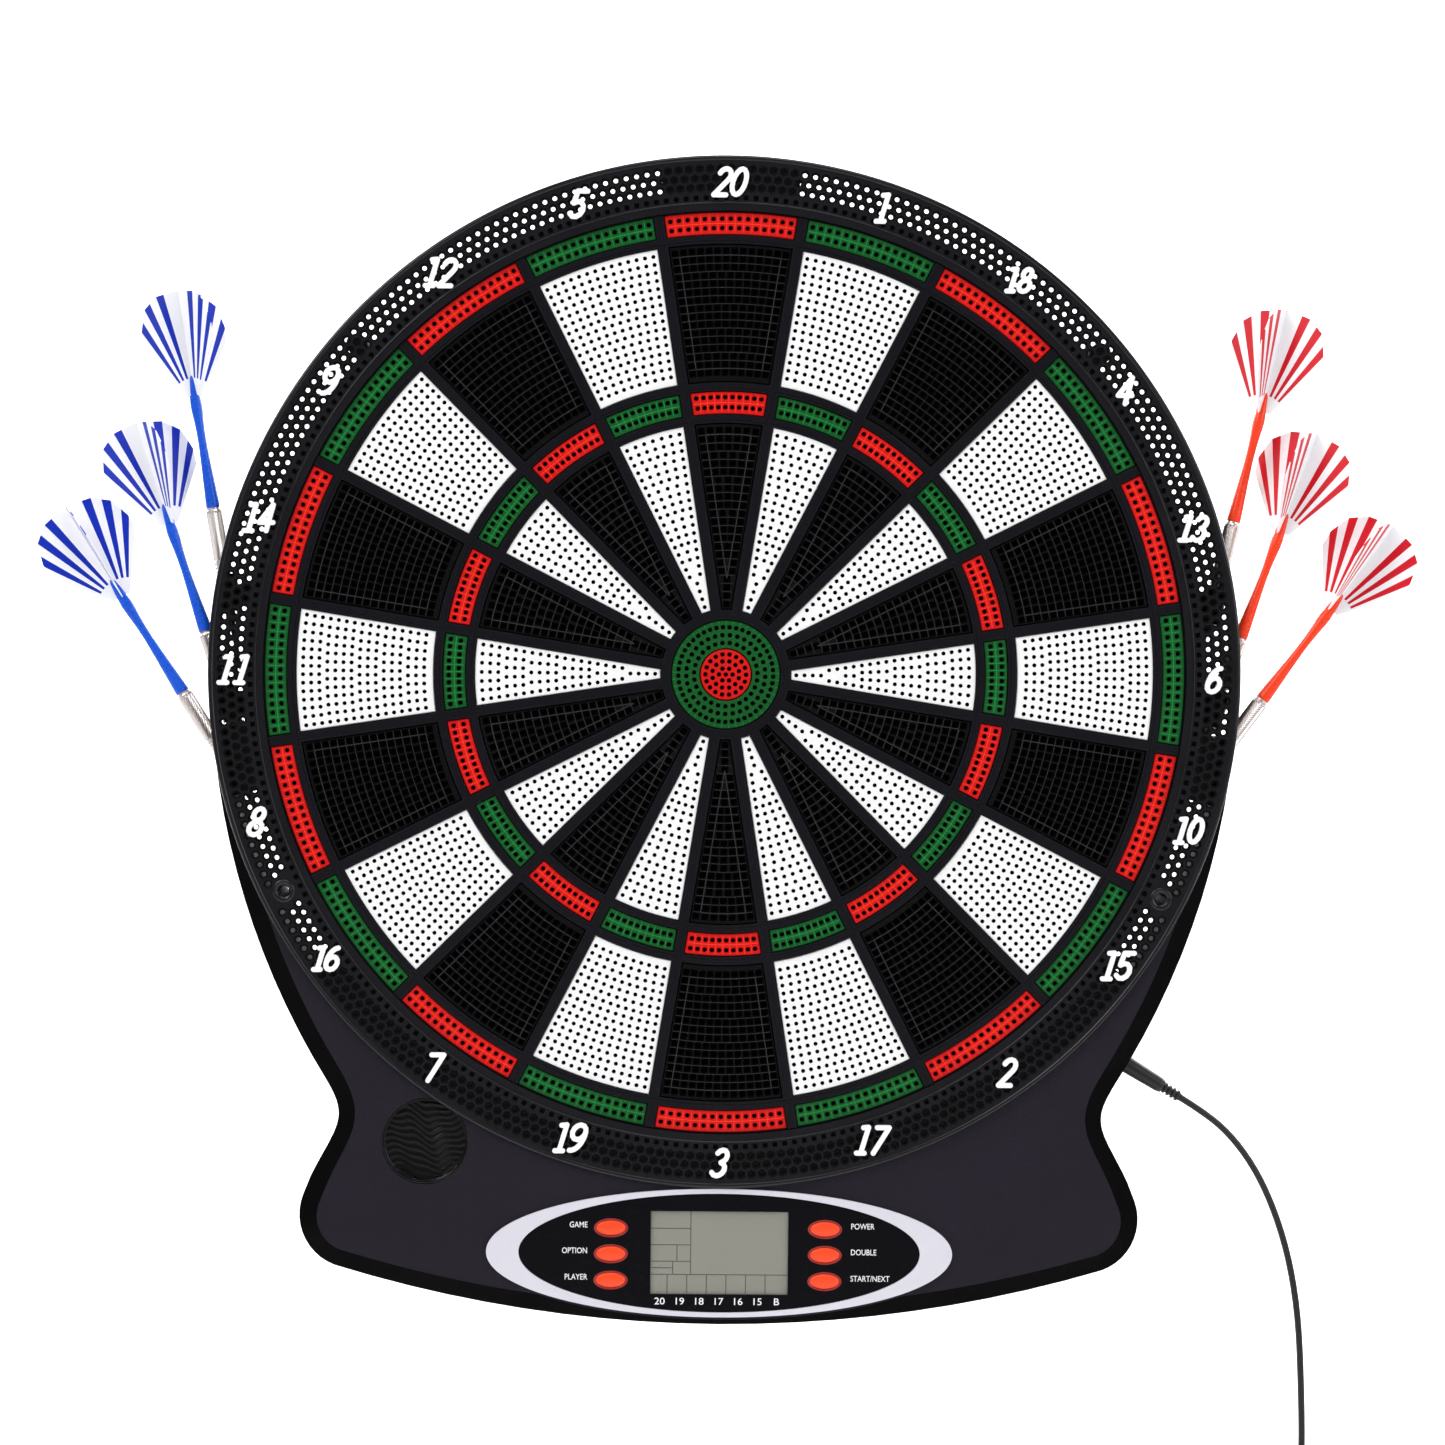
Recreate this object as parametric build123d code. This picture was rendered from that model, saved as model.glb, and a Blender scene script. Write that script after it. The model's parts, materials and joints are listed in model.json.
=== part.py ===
from build123d import *
import math
import os

# Wall-hung electronic dartboard for soft-tip darts, with six stored darts and its mains adapter lead.
# Millimetres, +Z up. The wall is the plane y = 0 and the front faces -Y, so a depth below is the
# distance in front of the wall. The origin is the bull's axis on the wall plane.

# Driving dimensions: the playing face.
DOUBLE_OUTER = 196.8
DOUBLE_INNER = 187.5
SINGLE_OUTER = (125.0, 183.3)
TREBLE = (111.3, 120.8)
SINGLE_INNER = (28.0, 107.2)
BULL_RING = (11.3, 23.3)
BULL_CENTRE = 10.8
SECTORS = (20, 1, 18, 4, 13, 6, 10, 15, 2, 17, 3, 19, 7, 16, 8, 11, 14, 9, 12, 5)
SECTOR_TURN = 360.0 / len(SECTORS)
RIB_HALF = 2.45          # from a sector's boundary line to its segments' sides
POCKET_GAP = 0.3         # between a segment and the frame around it
CATCH_FLANGE = 1.0       # how far a segment's rear flange reaches behind the frame

# Driving dimensions: radii of the round body.
RING_INNER = 197.5
RING_OUTER = 221.0
RING_RIM = 218.3
FRAME_OUTER = 199.2
DRUM_INNER = 199.5
DRUM_OUTER = 202.5
DISC_OUTER = 198.8

# Driving dimensions: depths in front of the wall.
COVER_FRONT = 2.5
BACKING = (12.6, 15.1)
MEMBRANE = (15.1, 15.5)
MAT = (15.5, 17.5)
SEGMENT = (19.0, 28.4)
SEGMENT_FLANGE_FRONT = 21.2
FRAME_BACK = 21.5
FRAME_SHOULDER = 27.5
FRAME_FRONT = 29.0
RIDGE_FRONT = 29.4
PLATE_BACK = 25.3
PLATE_FRONT = 27.8
RING_FRONT = 30.0
WALL = 2.5               # side walls of the moulded shells

# Driving dimensions: the base under the round body.
BASE_TOP = -25.0
BASE_BOTTOM = -281.0
BASE_EDGE = {            # X, Z and the outward direction in degrees above +X
    "shoulder": (219.58, BASE_TOP, -5.0),
    "flank": (208.0, -90.0, -17.0),
    "waist_top": (176.0, -166.0, -30.0),
    "waist": (164.5, -190.0, 0.0),
    "waist_foot": (176.3, -217.7, 25.0),
    "foot_top": (179.6, -226.0, 20.0),
    "foot": (178.0, -246.0, -33.0),
    "foot_under": (166.0, -256.3, -73.0),
    "under": (85.0, -274.6, -81.5),
    "bottom": (0.0, BASE_BOTTOM, -90.0),
}
WAIST_IN = (-0.5, -0.866)
WAIST_OUT = (0.42, -0.9)
BEVEL_WIDTH = 8.0
BEVEL_DEPTH = 4.0
HOLLOW_STEP = 9.0
PANEL_Z = -249.0
BEZEL_SIZE = (200.6, 55.6)
OVERLAY_SIZE = (172.8, 51.5)
PANEL_OPENING = (168.0, 47.0)   # through the housing, behind the overlay
PEDESTAL_RIM = 1.3
LCD_SIZE = (59.2, 36.0)
LCD_FRAME = (65.0, 41.0)
LCD_GLASS = (61.0, 38.0)
BOARD_SIZE = (152.0, 42.0)
TAIL_WIDTH = 40.0
TAIL_END = -231.0
BUTTON_SIZE = (13.6, 7.1)
BUTTON_X = (-46.7, 45.4)
BUTTON_Z = (10.6, -0.6, -12.0)
BUTTON_NAMES = (("game", "option", "player"), ("power", "double", "start"))
SPEAKER_X = -127.0
SPEAKER_Z = -201.8
GRILLE_RADIUS = 18.3
GRILLE = (22.2, 25.8)
SPEAKER_RADIUS = 17.5
MAGNET_RADIUS = 9.0

# Fasteners: two wall screws pass through the front, the others close the shells from behind.
WALL_HOLE_RADIUS = 2.3
WALL_HOLE = (188.0, -94.5)
WALL_BOSS_RADIUS = 5.0
RING_RECESS_RADIUS = 4.4
SCREW_RADIUS = 1.45
SCREW_HEAD_RADIUS = 3.2
SCREW_HEAD = (0.1, 1.2)
SCREW_END = 14.0
POST_RADIUS = 3.8
LUG_TURN = 48.8
LUG_RADIUS = 211.0
POSTS = ((148.0, -148.0), (150.0, -228.0), (72.0, -214.0))
WINDOW = (203.6, 217.3)
WINDOW_TURN = (104.5, 126.5)
WINDOW_WALL = 1.6
COVER_RINGS = (60.0, 120.0, 185.0)
COVER_RING_HALF = 0.8
LIP_TURN = 96.0
LIP_BACK = 24.0
RING_LINE = (200.4, 201.2)
RING_RAISE = 0.4

# Numerals: upright, their strokes leaning as if written by hand.
NUMERAL_HEIGHT = 13.4
LOWER_NUMERALS = {18: 11.6, 16: 11.6, 13: 12.4, 10: 12.4, 6: 12.4}
NUMERAL_STROKE = 2.1
NUMERAL_RADIUS = 209.5
NUMERAL_RAISE = 1.2
NUMERAL_SLANT = 0.27
DIGIT_ADVANCE = 0.60
DIGIT_WIDTH = 0.54

# Darts: shaft top and barrel top of each, in X and Z, upper to lower, and the turn of its flight.
DART_DEPTH = 21.6
DART_TIP = 25.0
DART_BARREL = 45.0
DART_SHAFT = 56.0
FLIGHT_LENGTH = 48.0
FLIGHT_OVERLAP = 10.0
FLIGHT_THICKNESS = 0.5
BARREL_RADIUS = 3.4
BLUE_DARTS = (
    ((-229.7, 124.8), (-220.1, 68.9), 42.0),
    ((-241.3, 69.9), (-223.0, 16.2), 30.0),
    ((-262.7, 36.3), (-232.6, -10.2), 12.0),
)
RED_DARTS = (
    ((230.9, 122.4), (218.0, 68.0), -30.0),
    ((240.6, 70.2), (221.8, 18.0), -28.0),
    ((264.6, 36.0), (231.7, -8.5), -24.0),
)
SOCKET_LENGTH = 16.0
SOCKET_WALL = 1.8
HOLDER_TURN = (73.0, 96.0)
HOLDER = (16.5, 26.9)
HOLDER_THICKNESS = 2.0

# Adapter lead: it leaves its plug in the jack and hangs down the wall into a tied coil.
LEAD_RADIUS = 1.5
JACK_POINT = (173.6, -166.2)
JACK_DEPTH = 14.0
JACK_SLOPE = 31.0
JACK_RADIUS = 5.3
JACK_BORE = 2.9
PLUG_BODY = 22.0
PLUG_RELIEF = 9.0
COIL_MAJOR = 18.0
COIL_MINOR = 6.0
COIL_CENTRE = (238.0, -386.0)
ADAPTER_SIZE = (46.0, 26.0, 62.0)
ADAPTER_TOP = (214.0, -432.0)


def at_depth(sketch, depth):
    """A sketch drawn in X and Z, placed at a depth in front of the wall."""
    return Plane.XZ.offset(depth) * sketch


def slab(sketch, back, front):
    """The sketch in X and Z, solid from one depth to another."""
    return extrude(at_depth(sketch, back), amount=front - back)


def disc(radius, x=0.0, z=0.0):
    return Pos(x, z) * Circle(radius)


def annulus(inner, outer):
    return Circle(outer) - Circle(inner)


def from_top(radius, turn):
    """X and Z at a radius, a turn in degrees clockwise from the top."""
    return radius * math.sin(math.radians(turn)), radius * math.cos(math.radians(turn))


def turned(sketch, turn):
    """A sketch turned clockwise about the bull, as seen from the front."""
    return Rot(0, 0, -turn) * sketch


def fan(half_turn, inset=0.0):
    """A wedge about the upward line, its sides moved in by an inset."""
    apex = inset / math.sin(math.radians(half_turn))
    reach = 2 * RING_OUTER
    side, rise = from_top(reach, half_turn)
    return make_face(Polyline((0, apex), (side, apex + rise), (-side, apex + rise), close=True))


def arc_band(inner, outer, start, end):
    """A ring's part between two turns, clockwise from the top."""
    return turned(annulus(inner, outer) & fan((end - start) / 2), (start + end) / 2)


def mirrored(sketch):
    """A sketch with its mirror image in the upright middle plane."""
    return sketch + mirror(sketch, about=Plane.YZ)


def save(shape, name):
    os.makedirs("parts", exist_ok=True)
    shape.label = name
    export_step(shape, f"parts/{name}.step")


# ---- The playing face ----

def segment_face(inner, outer, grow=0.0):
    """One segment's outline at the top of the board, grown on every side."""
    return annulus(inner - grow, outer + grow) & fan(SECTOR_TURN / 2, RIB_HALF - grow)


def segment(inner, outer):
    cap = slab(segment_face(inner, outer), *SEGMENT)
    flange = slab(segment_face(inner, outer, CATCH_FLANGE), SEGMENT[0], SEGMENT_FLANGE_FRONT)
    return cap + flange


def segment_rings():
    return ((DOUBLE_INNER, DOUBLE_OUTER), SINGLE_OUTER, TREBLE, SINGLE_INNER)


def sectors():
    pieces = [segment(inner, outer) for inner, outer in segment_rings()]
    for step, number in enumerate(SECTORS):
        placed = [Rot(0, SECTOR_TURN * step, 0) * piece for piece in pieces]
        save(Compound(children=placed), f"sector_{number:02d}")


def bull_outer():
    cap = slab(annulus(*BULL_RING), *SEGMENT)
    flange = slab(annulus(BULL_RING[0], BULL_RING[1] + CATCH_FLANGE), SEGMENT[0], SEGMENT_FLANGE_FRONT)
    return cap + flange


def bull_inner():
    return slab(Circle(BULL_CENTRE), SEGMENT[0] + 0.2, SEGMENT[1])


def pockets():
    """The openings of the frame, one for each segment and one for the bull."""
    wedge = Sketch() + [segment_face(inner, outer, POCKET_GAP) for inner, outer in segment_rings()]
    around = [turned(wedge, SECTOR_TURN * step) for step in range(len(SECTORS))]
    return Sketch() + around + Circle(BULL_RING[1] + POCKET_GAP)


def ridges():
    """The thin raised lines along the middle of every rib."""
    half = 0.4
    radii = [(BULL_RING[1] + SINGLE_INNER[0]) / 2, (SINGLE_INNER[1] + TREBLE[0]) / 2]
    radii += [(TREBLE[1] + SINGLE_OUTER[0]) / 2, (SINGLE_OUTER[1] + DOUBLE_INNER) / 2]
    circles = Sketch() + [annulus(radius - half, radius + half) for radius in radii]
    line = Pos(0, (radii[0] + DOUBLE_OUTER) / 2) * Rectangle(2 * half, DOUBLE_OUTER - radii[0])
    lines = [turned(line, SECTOR_TURN * (step + 0.5)) for step in range(len(SECTORS))]
    return circles + lines


def spider_frame():
    openings = pockets()
    web = slab(Circle(FRAME_OUTER) - openings, FRAME_BACK, FRAME_SHOULDER)
    raised = slab(Circle(DOUBLE_OUTER + POCKET_GAP) - openings, FRAME_SHOULDER, FRAME_FRONT)
    lines = slab(ridges(), FRAME_FRONT, RIDGE_FRONT)
    skirt = slab(annulus(FRAME_OUTER - 0.9, FRAME_OUTER), MAT[1], FRAME_BACK)
    return web + raised + lines + skirt


def matrix_membrane():
    overlap = 4
    length = -TAIL_END - DISC_OUTER + overlap
    tail = Pos(0, TAIL_END + length / 2) * Rectangle(TAIL_WIDTH, length)
    return slab(Circle(DISC_OUTER) + tail, *MEMBRANE)


# ---- Outlines of the shells ----

def base_point(name, inset):
    """A point of the base's edge, moved inwards along its outward direction."""
    x, z, outward = BASE_EDGE[name]
    turn = math.radians(outward)
    return x - inset * math.cos(turn), z - inset * math.sin(turn)


def base_outline(inset=0.0):
    """The base's edge, from the round body down the sides, in at the waist and out to the feet."""
    at = {name: base_point(name, inset) for name in BASE_EDGE}
    side = ThreePointArc(at["shoulder"], at["flank"], at["waist_top"])
    waist = Spline(at["waist_top"], at["waist"], at["waist_foot"], tangents=(WAIST_IN, WAIST_OUT))
    shin = Line(at["waist_foot"], at["foot_top"])
    foot = ThreePointArc(at["foot_top"], at["foot"], at["foot_under"])
    under = ThreePointArc(at["foot_under"], at["under"], at["bottom"])
    across = Line(at["bottom"], (0, BASE_TOP - inset))
    back = Line((0, BASE_TOP - inset), at["shoulder"])
    return mirrored(make_face([side, waist, shin, foot, under, across, back]))


def top_tab():
    return arc_band(DRUM_OUTER - 1, RING_RIM, -8, 8)


def lugs():
    """Ears of the round body that the upper screws pass through."""
    one = disc(POST_RADIUS + 0.7, 0, LUG_RADIUS)
    one += Pos(0, (LUG_RADIUS + DRUM_INNER) / 2 + 1) * Rectangle(5, LUG_RADIUS - DRUM_INNER - 2)
    return turned(one, LUG_TURN) + turned(one, -LUG_TURN)


def windows():
    """Openings behind the catch ring, where the wall shows through, round the wall screws' bosses."""
    opening = arc_band(*WINDOW, *WINDOW_TURN)
    turn = math.degrees(math.atan2(WALL_HOLE[0], WALL_HOLE[1]))
    web = turned(Pos(0, sum(WINDOW) / 2) * Rectangle(3, WINDOW[1] - WINDOW[0] + 2), turn)
    opening -= web + disc(WALL_BOSS_RADIUS, *WALL_HOLE)
    return mirrored(opening)


def wall_holes(radius):
    return mirrored(disc(radius, *WALL_HOLE))


def screw_places():
    spots = [from_top(LUG_RADIUS, turn) for turn in (LUG_TURN, -LUG_TURN)]
    for x, z in POSTS:
        spots += [(x, z), (-x, z)]
    return spots + [(0.0, 211.0)]


def at_screws(radius):
    return Sketch() + [disc(radius, x, z) for x, z in screw_places()]


def outside_drum(sketch):
    return sketch - Circle(DRUM_OUTER)


# ---- Things along a line, such as the darts and the plug ----

def rod(plane, radius, start, end):
    """A cylinder along the plane's normal, between two distances from its origin."""
    return extrude(plane.offset(start) * Circle(radius), amount=end - start)


def lathe(plane, profile):
    """A turned part about the plane's normal, from points of radius and distance."""
    axis_ends = [(0, profile[-1][1]), (0, profile[0][1])]
    outline = make_face(Polyline(*profile, *axis_ends, close=True))
    side = Plane(origin=plane.origin, x_dir=plane.x_dir, z_dir=-plane.y_dir)
    return revolve(side * outline, Axis(plane.origin, plane.z_dir))


def dart_plane(dart):
    """The rear end of the dart's barrel is up the normal, and the origin is the barrel's front end."""
    (top_x, top_z), (low_x, low_z), _ = dart
    length = math.hypot(top_x - low_x, top_z - low_z)
    along = ((top_x - low_x) / length, 0, (top_z - low_z) / length)
    origin = (low_x - along[0] * DART_BARREL, -DART_DEPTH, low_z - along[2] * DART_BARREL)
    return Plane(origin=origin, x_dir=(0, 1, 0), z_dir=along)


def dart_way(dart):
    """The straight way that a dart needs to slide out."""
    plane = dart_plane(dart)
    shaft_end = DART_BARREL + DART_SHAFT
    return rod(plane, BARREL_RADIUS + 0.4, -3, shaft_end) + rod(plane, 2.4, -DART_TIP - 2, 0)


def flight_plane(dart):
    plane = dart_plane(dart)
    start = DART_BARREL + DART_SHAFT - FLIGHT_OVERLAP
    return plane.offset(start).rotated((0, 0, dart[2]))


def dart_flight(dart):
    """Four vanes, which slide into the slotted end of the shaft."""
    plane = flight_plane(dart)
    half = make_face(Polyline((0, 0), (2.4, 0), (20.3, 24), (21, 31), (18.3, 40), (11.5, 45.5),
                              (0, FLIGHT_LENGTH), close=True))
    outline = half + mirror(half, about=Plane.YZ)
    vanes = []
    for sideways in (plane.x_dir, plane.y_dir):
        normal = sideways.cross(plane.z_dir)
        sheet = Plane(origin=plane.origin, x_dir=sideways, z_dir=normal)
        vanes.append(extrude(sheet * outline, amount=FLIGHT_THICKNESS / 2, both=True))
    return vanes[0] + vanes[1]


def dart(data, name):
    plane = dart_plane(data)
    shaft_end = DART_BARREL + DART_SHAFT
    tip = lathe(plane, [(0.5, -DART_TIP), (1.1, -DART_TIP + 3), (1.6, -4), (2.5, -1.2), (2.5, 0)])
    barrel = lathe(plane, [(2.6, 0), (BARREL_RADIUS, 7), (BARREL_RADIUS, DART_BARREL - 1.5),
                           (2.9, DART_BARREL)])
    flight = dart_flight(data)
    shaft = lathe(plane, [(3.1, DART_BARREL), (3.2, DART_BARREL + 6), (2.2, DART_BARREL + 28),
                          (2.5, DART_BARREL + 38), (3.0, shaft_end - 12), (2.6, shaft_end)])
    shaft -= flight
    pieces = [tip, barrel, *shaft.solids(), flight]
    save(Compound(children=pieces), name)


def darts():
    for colour, group in (("blue", BLUE_DARTS), ("red", RED_DARTS)):
        for index, data in enumerate(group, start=1):
            dart(data, f"{colour}_dart_{index}")


def dart_holder(group, side):
    """A curved strip on the round body with a sleeve for each of the two upper darts."""
    start, end = sorted(side * turn for turn in HOLDER_TURN)
    inner = DRUM_OUTER + 0.1
    holder = slab(arc_band(inner, inner + HOLDER_THICKNESS, start, end), *HOLDER)
    for data, first in ((group[0], 0.0), (group[1], 5.0)):
        plane = dart_plane(data)
        middle = plane.origin + plane.z_dir * (first + SOCKET_LENGTH / 2)
        radius = math.hypot(middle.X, middle.Z)
        turn = math.degrees(math.atan2(middle.X, middle.Z))
        stem = Pos(0, (DRUM_OUTER + 1 + radius) / 2) * Rectangle(9, radius - DRUM_OUTER - 1)
        holder += slab(turned(stem, turn), DART_DEPTH - 2, DART_DEPTH + 2)
        holder += rod(plane, BARREL_RADIUS + SOCKET_WALL, first, first + SOCKET_LENGTH)
    holder &= slab(Circle(RING_RIM - 0.4), 0, PLATE_FRONT - 0.3)
    for data in group:
        holder -= dart_way(data)
    return holder.solids().sort_by(SortBy.VOLUME)[-1]


# ---- The shells ----

def bevelled_base():
    """The base as a block, its front edge sloping away all round."""
    block = slab(base_outline(), COVER_FRONT, PLATE_FRONT)
    front = block.faces().sort_by(Axis.Y)[0]
    edges = front.edges().filter_by(lambda edge: edge.center().Z < BASE_TOP - 1)
    return chamfer(edges, BEVEL_DEPTH, BEVEL_WIDTH)


def base_hollow():
    """The space inside the base, stepped so that the walls keep their thickness under the slope."""
    low = slab(base_outline(WALL), COVER_FRONT, PLATE_BACK - BEVEL_DEPTH)
    return low + slab(base_outline(HOLLOW_STEP), PLATE_BACK - BEVEL_DEPTH, PLATE_BACK)


def window_walls():
    """Walls round the windows, from the rear cover forward."""
    inner, outer = WINDOW[0] - WINDOW_WALL, WINDOW[1] + WINDOW_WALL
    around = arc_band(inner, outer, WINDOW_TURN[0] - 0.5, WINDOW_TURN[1] + 0.5)
    return outside_drum(mirrored(around))


def panel_ellipse(size, grow=0.0):
    return Pos(0, PANEL_Z) * Ellipse(size[0] / 2 + grow, size[1] / 2 + grow)


def jack_plane(along=0.0):
    """A plane across the jack's axis, its normal out of the side wall."""
    slope = math.radians(JACK_SLOPE)
    outward = (math.cos(slope), 0, -math.sin(slope))
    origin = (JACK_POINT[0] + along * outward[0], -JACK_DEPTH, JACK_POINT[1] + along * outward[2])
    return Plane(origin=origin, x_dir=(0, 1, 0), z_dir=outward)


def front_housing():
    shell = bevelled_base() - base_hollow()
    shell += slab(panel_ellipse(BEZEL_SIZE, PEDESTAL_RIM), PLATE_BACK - 2, PLATE_FRONT)
    shell -= slab(Circle(DRUM_OUTER), COVER_FRONT - 1, PLATE_FRONT + 1)
    shell += slab(annulus(DRUM_INNER, DRUM_OUTER) + top_tab() + lugs(), COVER_FRONT, PLATE_FRONT)
    shell += slab(window_walls(), COVER_FRONT, PLATE_BACK)
    shell += slab(Sketch() + [disc(POST_RADIUS, x, z) for x, z in screw_places()], COVER_FRONT, PLATE_BACK)
    shell -= slab(windows(), COVER_FRONT - 1, PLATE_FRONT + 1)
    shell += slab(wall_holes(WALL_BOSS_RADIUS), COVER_FRONT, PLATE_FRONT)
    shell -= slab(wall_holes(WALL_HOLE_RADIUS), COVER_FRONT - 1, PLATE_FRONT + 1)
    shell -= slab(at_screws(SCREW_RADIUS + 0.05), COVER_FRONT - 1, SCREW_END + 1.2)
    shell -= slab(panel_ellipse(PANEL_OPENING), PLATE_BACK - 4, PLATE_FRONT + 1)
    shell -= slab(disc(GRILLE_RADIUS + 0.3, SPEAKER_X, SPEAKER_Z), PLATE_BACK - 5, PLATE_FRONT + 1)
    tail_slot = Pos(0, -(DRUM_INNER + DRUM_OUTER) / 2) * Rectangle(TAIL_WIDTH + 2, 8)
    shell -= slab(tail_slot, MEMBRANE[0] - 1, MEMBRANE[1] + 1)
    shell -= rod(jack_plane(), JACK_RADIUS + 0.3, -16, 6)
    for data in BLUE_DARTS + RED_DARTS:
        shell -= dart_way(data)
    return shell


def rear_cover():
    """A flat plate with the housing's outline, and rings that hold the backing plate off it."""
    plate = Circle(DRUM_OUTER) + base_outline() + top_tab() + lugs()
    plate -= windows() + wall_holes(WALL_HOLE_RADIUS)
    cover = slab(plate, 0, COVER_FRONT)
    rings = [annulus(radius - COVER_RING_HALF, radius + COVER_RING_HALF) for radius in COVER_RINGS]
    cover += slab(Sketch() + rings, COVER_FRONT, BACKING[0])
    cover -= slab(at_screws(SCREW_RADIUS + 0.2), -1, COVER_FRONT + 1)
    return cover - slab(at_screws(SCREW_HEAD_RADIUS + 0.2), -1, SCREW_HEAD[1])


def housing_screws():
    screws = []
    for x, z in screw_places():
        head = slab(disc(SCREW_HEAD_RADIUS, x, z), *SCREW_HEAD)
        screws.append(head + slab(disc(SCREW_RADIUS, x, z), SCREW_HEAD[1], SCREW_END))
    return Compound(children=screws)


def catch_ring():
    """The number ring: a thin flange that overhangs the round body, with a lip along its free edge."""
    flange = slab(annulus(RING_INNER, RING_OUTER), PLATE_FRONT, RING_FRONT)
    rim = slab(annulus(RING_RIM, RING_OUTER), RING_FRONT, RING_FRONT + RING_RAISE)
    line = slab(annulus(*RING_LINE), RING_FRONT, RING_FRONT + RING_RAISE)
    lip = slab(mirrored(arc_band(RING_RIM, RING_OUTER, 0, LIP_TURN)), LIP_BACK, PLATE_FRONT)
    recesses = slab(wall_holes(RING_RECESS_RADIUS), PLATE_FRONT - 1, RING_FRONT + 1)
    ring = flange + rim + line + lip - recesses
    for data in BLUE_DARTS + RED_DARTS:
        ring -= dart_way(data)
    return ring


# ---- Numerals ----

def bow(centre, radii, start, end, steps=8):
    """Points along part of an ellipse, in degrees anticlockwise from the right."""
    turns = [math.radians(start + (end - start) * step / steps) for step in range(steps + 1)]
    return [(centre[0] + radii[0] * math.cos(turn), centre[1] + radii[1] * math.sin(turn))
            for turn in turns]


def digit_strokes(digit):
    """Pen strokes of one digit in a box one high, standing on the base line."""
    low, high, middle = (0.27, 0.24), (0.27, 0.76), 0.27
    shapes = {
        "0": [bow((middle, 0.5), (0.24, 0.48), 0, 360, 16)],
        "1": [[(0.14, 0.97), (0.33, 0.99), (0.30, 0.0)], [(0.14, 0.0), (0.44, 0.0)]],
        "2": [bow((middle, 0.73), (0.22, 0.25), 160, -40) + [(0.04, 0.0), (0.50, 0.0)]],
        "3": [bow((0.25, 0.74), (0.21, 0.24), 150, -80), bow((0.25, 0.25), (0.24, 0.25), 80, -150)],
        "4": [[(0.37, 0.98), (0.02, 0.31), (0.54, 0.31)], [(0.37, 0.98), (0.37, 0.0)]],
        "5": [[(0.48, 0.98), (0.12, 0.98), (0.08, 0.56)], bow((0.24, 0.30), (0.25, 0.29), 130, -145)],
        "6": [bow((0.42, 0.36), (0.40, 0.62), 95, 180), bow((0.27, 0.29), (0.25, 0.29), 0, 360, 12)],
        "7": [[(0.06, 0.98), (0.52, 0.98), (0.18, 0.0)]],
        "8": [bow(high, (0.19, 0.22), 0, 360, 12), bow(low, (0.24, 0.25), 0, 360, 12)],
        "9": [bow((0.12, 0.64), (0.40, 0.62), -95, 0), bow((0.27, 0.71), (0.25, 0.28), 0, 360, 12)],
    }
    return shapes[digit]


def numeral_face(number):
    """One or two leaning digits, centred on the origin."""
    text = str(number)
    tall = LOWER_NUMERALS.get(number, NUMERAL_HEIGHT) - NUMERAL_STROKE
    width = DIGIT_ADVANCE * (len(text) - 1) + DIGIT_WIDTH
    strokes = Sketch()
    for place, digit in enumerate(text):
        for stroke in digit_strokes(digit):
            points = []
            for x, z in stroke:
                lean = NUMERAL_SLANT * (z - 0.5)
                points.append(((x + DIGIT_ADVANCE * place - width / 2 + lean) * tall, (z - 0.5) * tall))
            for start, end in zip(points, points[1:]):
                middle = ((start[0] + end[0]) / 2, (start[1] + end[1]) / 2)
                length = math.dist(start, end)
                turn = math.degrees(math.atan2(end[1] - start[1], end[0] - start[0]))
                place_of_bar = Location((*middle, 0), (0, 0, turn))
                strokes += place_of_bar * SlotCenterToCenter(length, NUMERAL_STROKE)
    return strokes


def numerals():
    solids = []
    for step, number in enumerate(SECTORS):
        x, z = from_top(NUMERAL_RADIUS, SECTOR_TURN * step)
        raised = slab(Pos(x, z) * numeral_face(number), RING_FRONT, RING_FRONT + NUMERAL_RAISE)
        solids += raised.solids()
    return Compound(children=solids)


# ---- Control panel and electronics ----

def button_places():
    for x, names in zip(BUTTON_X, BUTTON_NAMES):
        for rise, name in zip(BUTTON_Z, names):
            yield name, x, PANEL_Z + rise


def button_oval(x, z, grow=0.0):
    return Pos(x, z) * Ellipse(BUTTON_SIZE[0] / 2 + grow, BUTTON_SIZE[1] / 2 + grow)


def panel_overlay():
    holes = [button_oval(x, z, 0.35) for _, x, z in button_places()]
    screen = Pos(0, PANEL_Z) * Rectangle(*LCD_SIZE)
    face = panel_ellipse(OVERLAY_SIZE, -0.2) - holes - screen
    return slab(face, PLATE_FRONT, PLATE_FRONT + 0.9)


def panel_bezel():
    face = panel_ellipse(BEZEL_SIZE) - panel_ellipse(OVERLAY_SIZE)
    return slab(face, PLATE_FRONT, PLATE_FRONT + 1.2)


def lcd_window():
    pane = Pos(0, PANEL_Z) * Rectangle(LCD_SIZE[0] - 0.4, LCD_SIZE[1] - 0.4)
    return slab(pane, PLATE_FRONT, PLATE_FRONT + 0.6)


def lcd_module():
    frame = slab(Pos(0, PANEL_Z) * Rectangle(*LCD_FRAME), 20.2, 26.4)
    return frame + slab(Pos(0, PANEL_Z) * Rectangle(*LCD_GLASS), 26.4, 27.4)


def button(x, z):
    """A domed oval cap with a stem and a flange that keeps it behind the overlay."""
    cap = slab(button_oval(x, z), 23.6, 29.6)
    edges = cap.faces().sort_by(Axis.Y)[0].edges()
    cap = chamfer(edges, 0.7, 1.3)
    return cap + slab(button_oval(x, z, 0.9), 22.6, 23.6)


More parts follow.
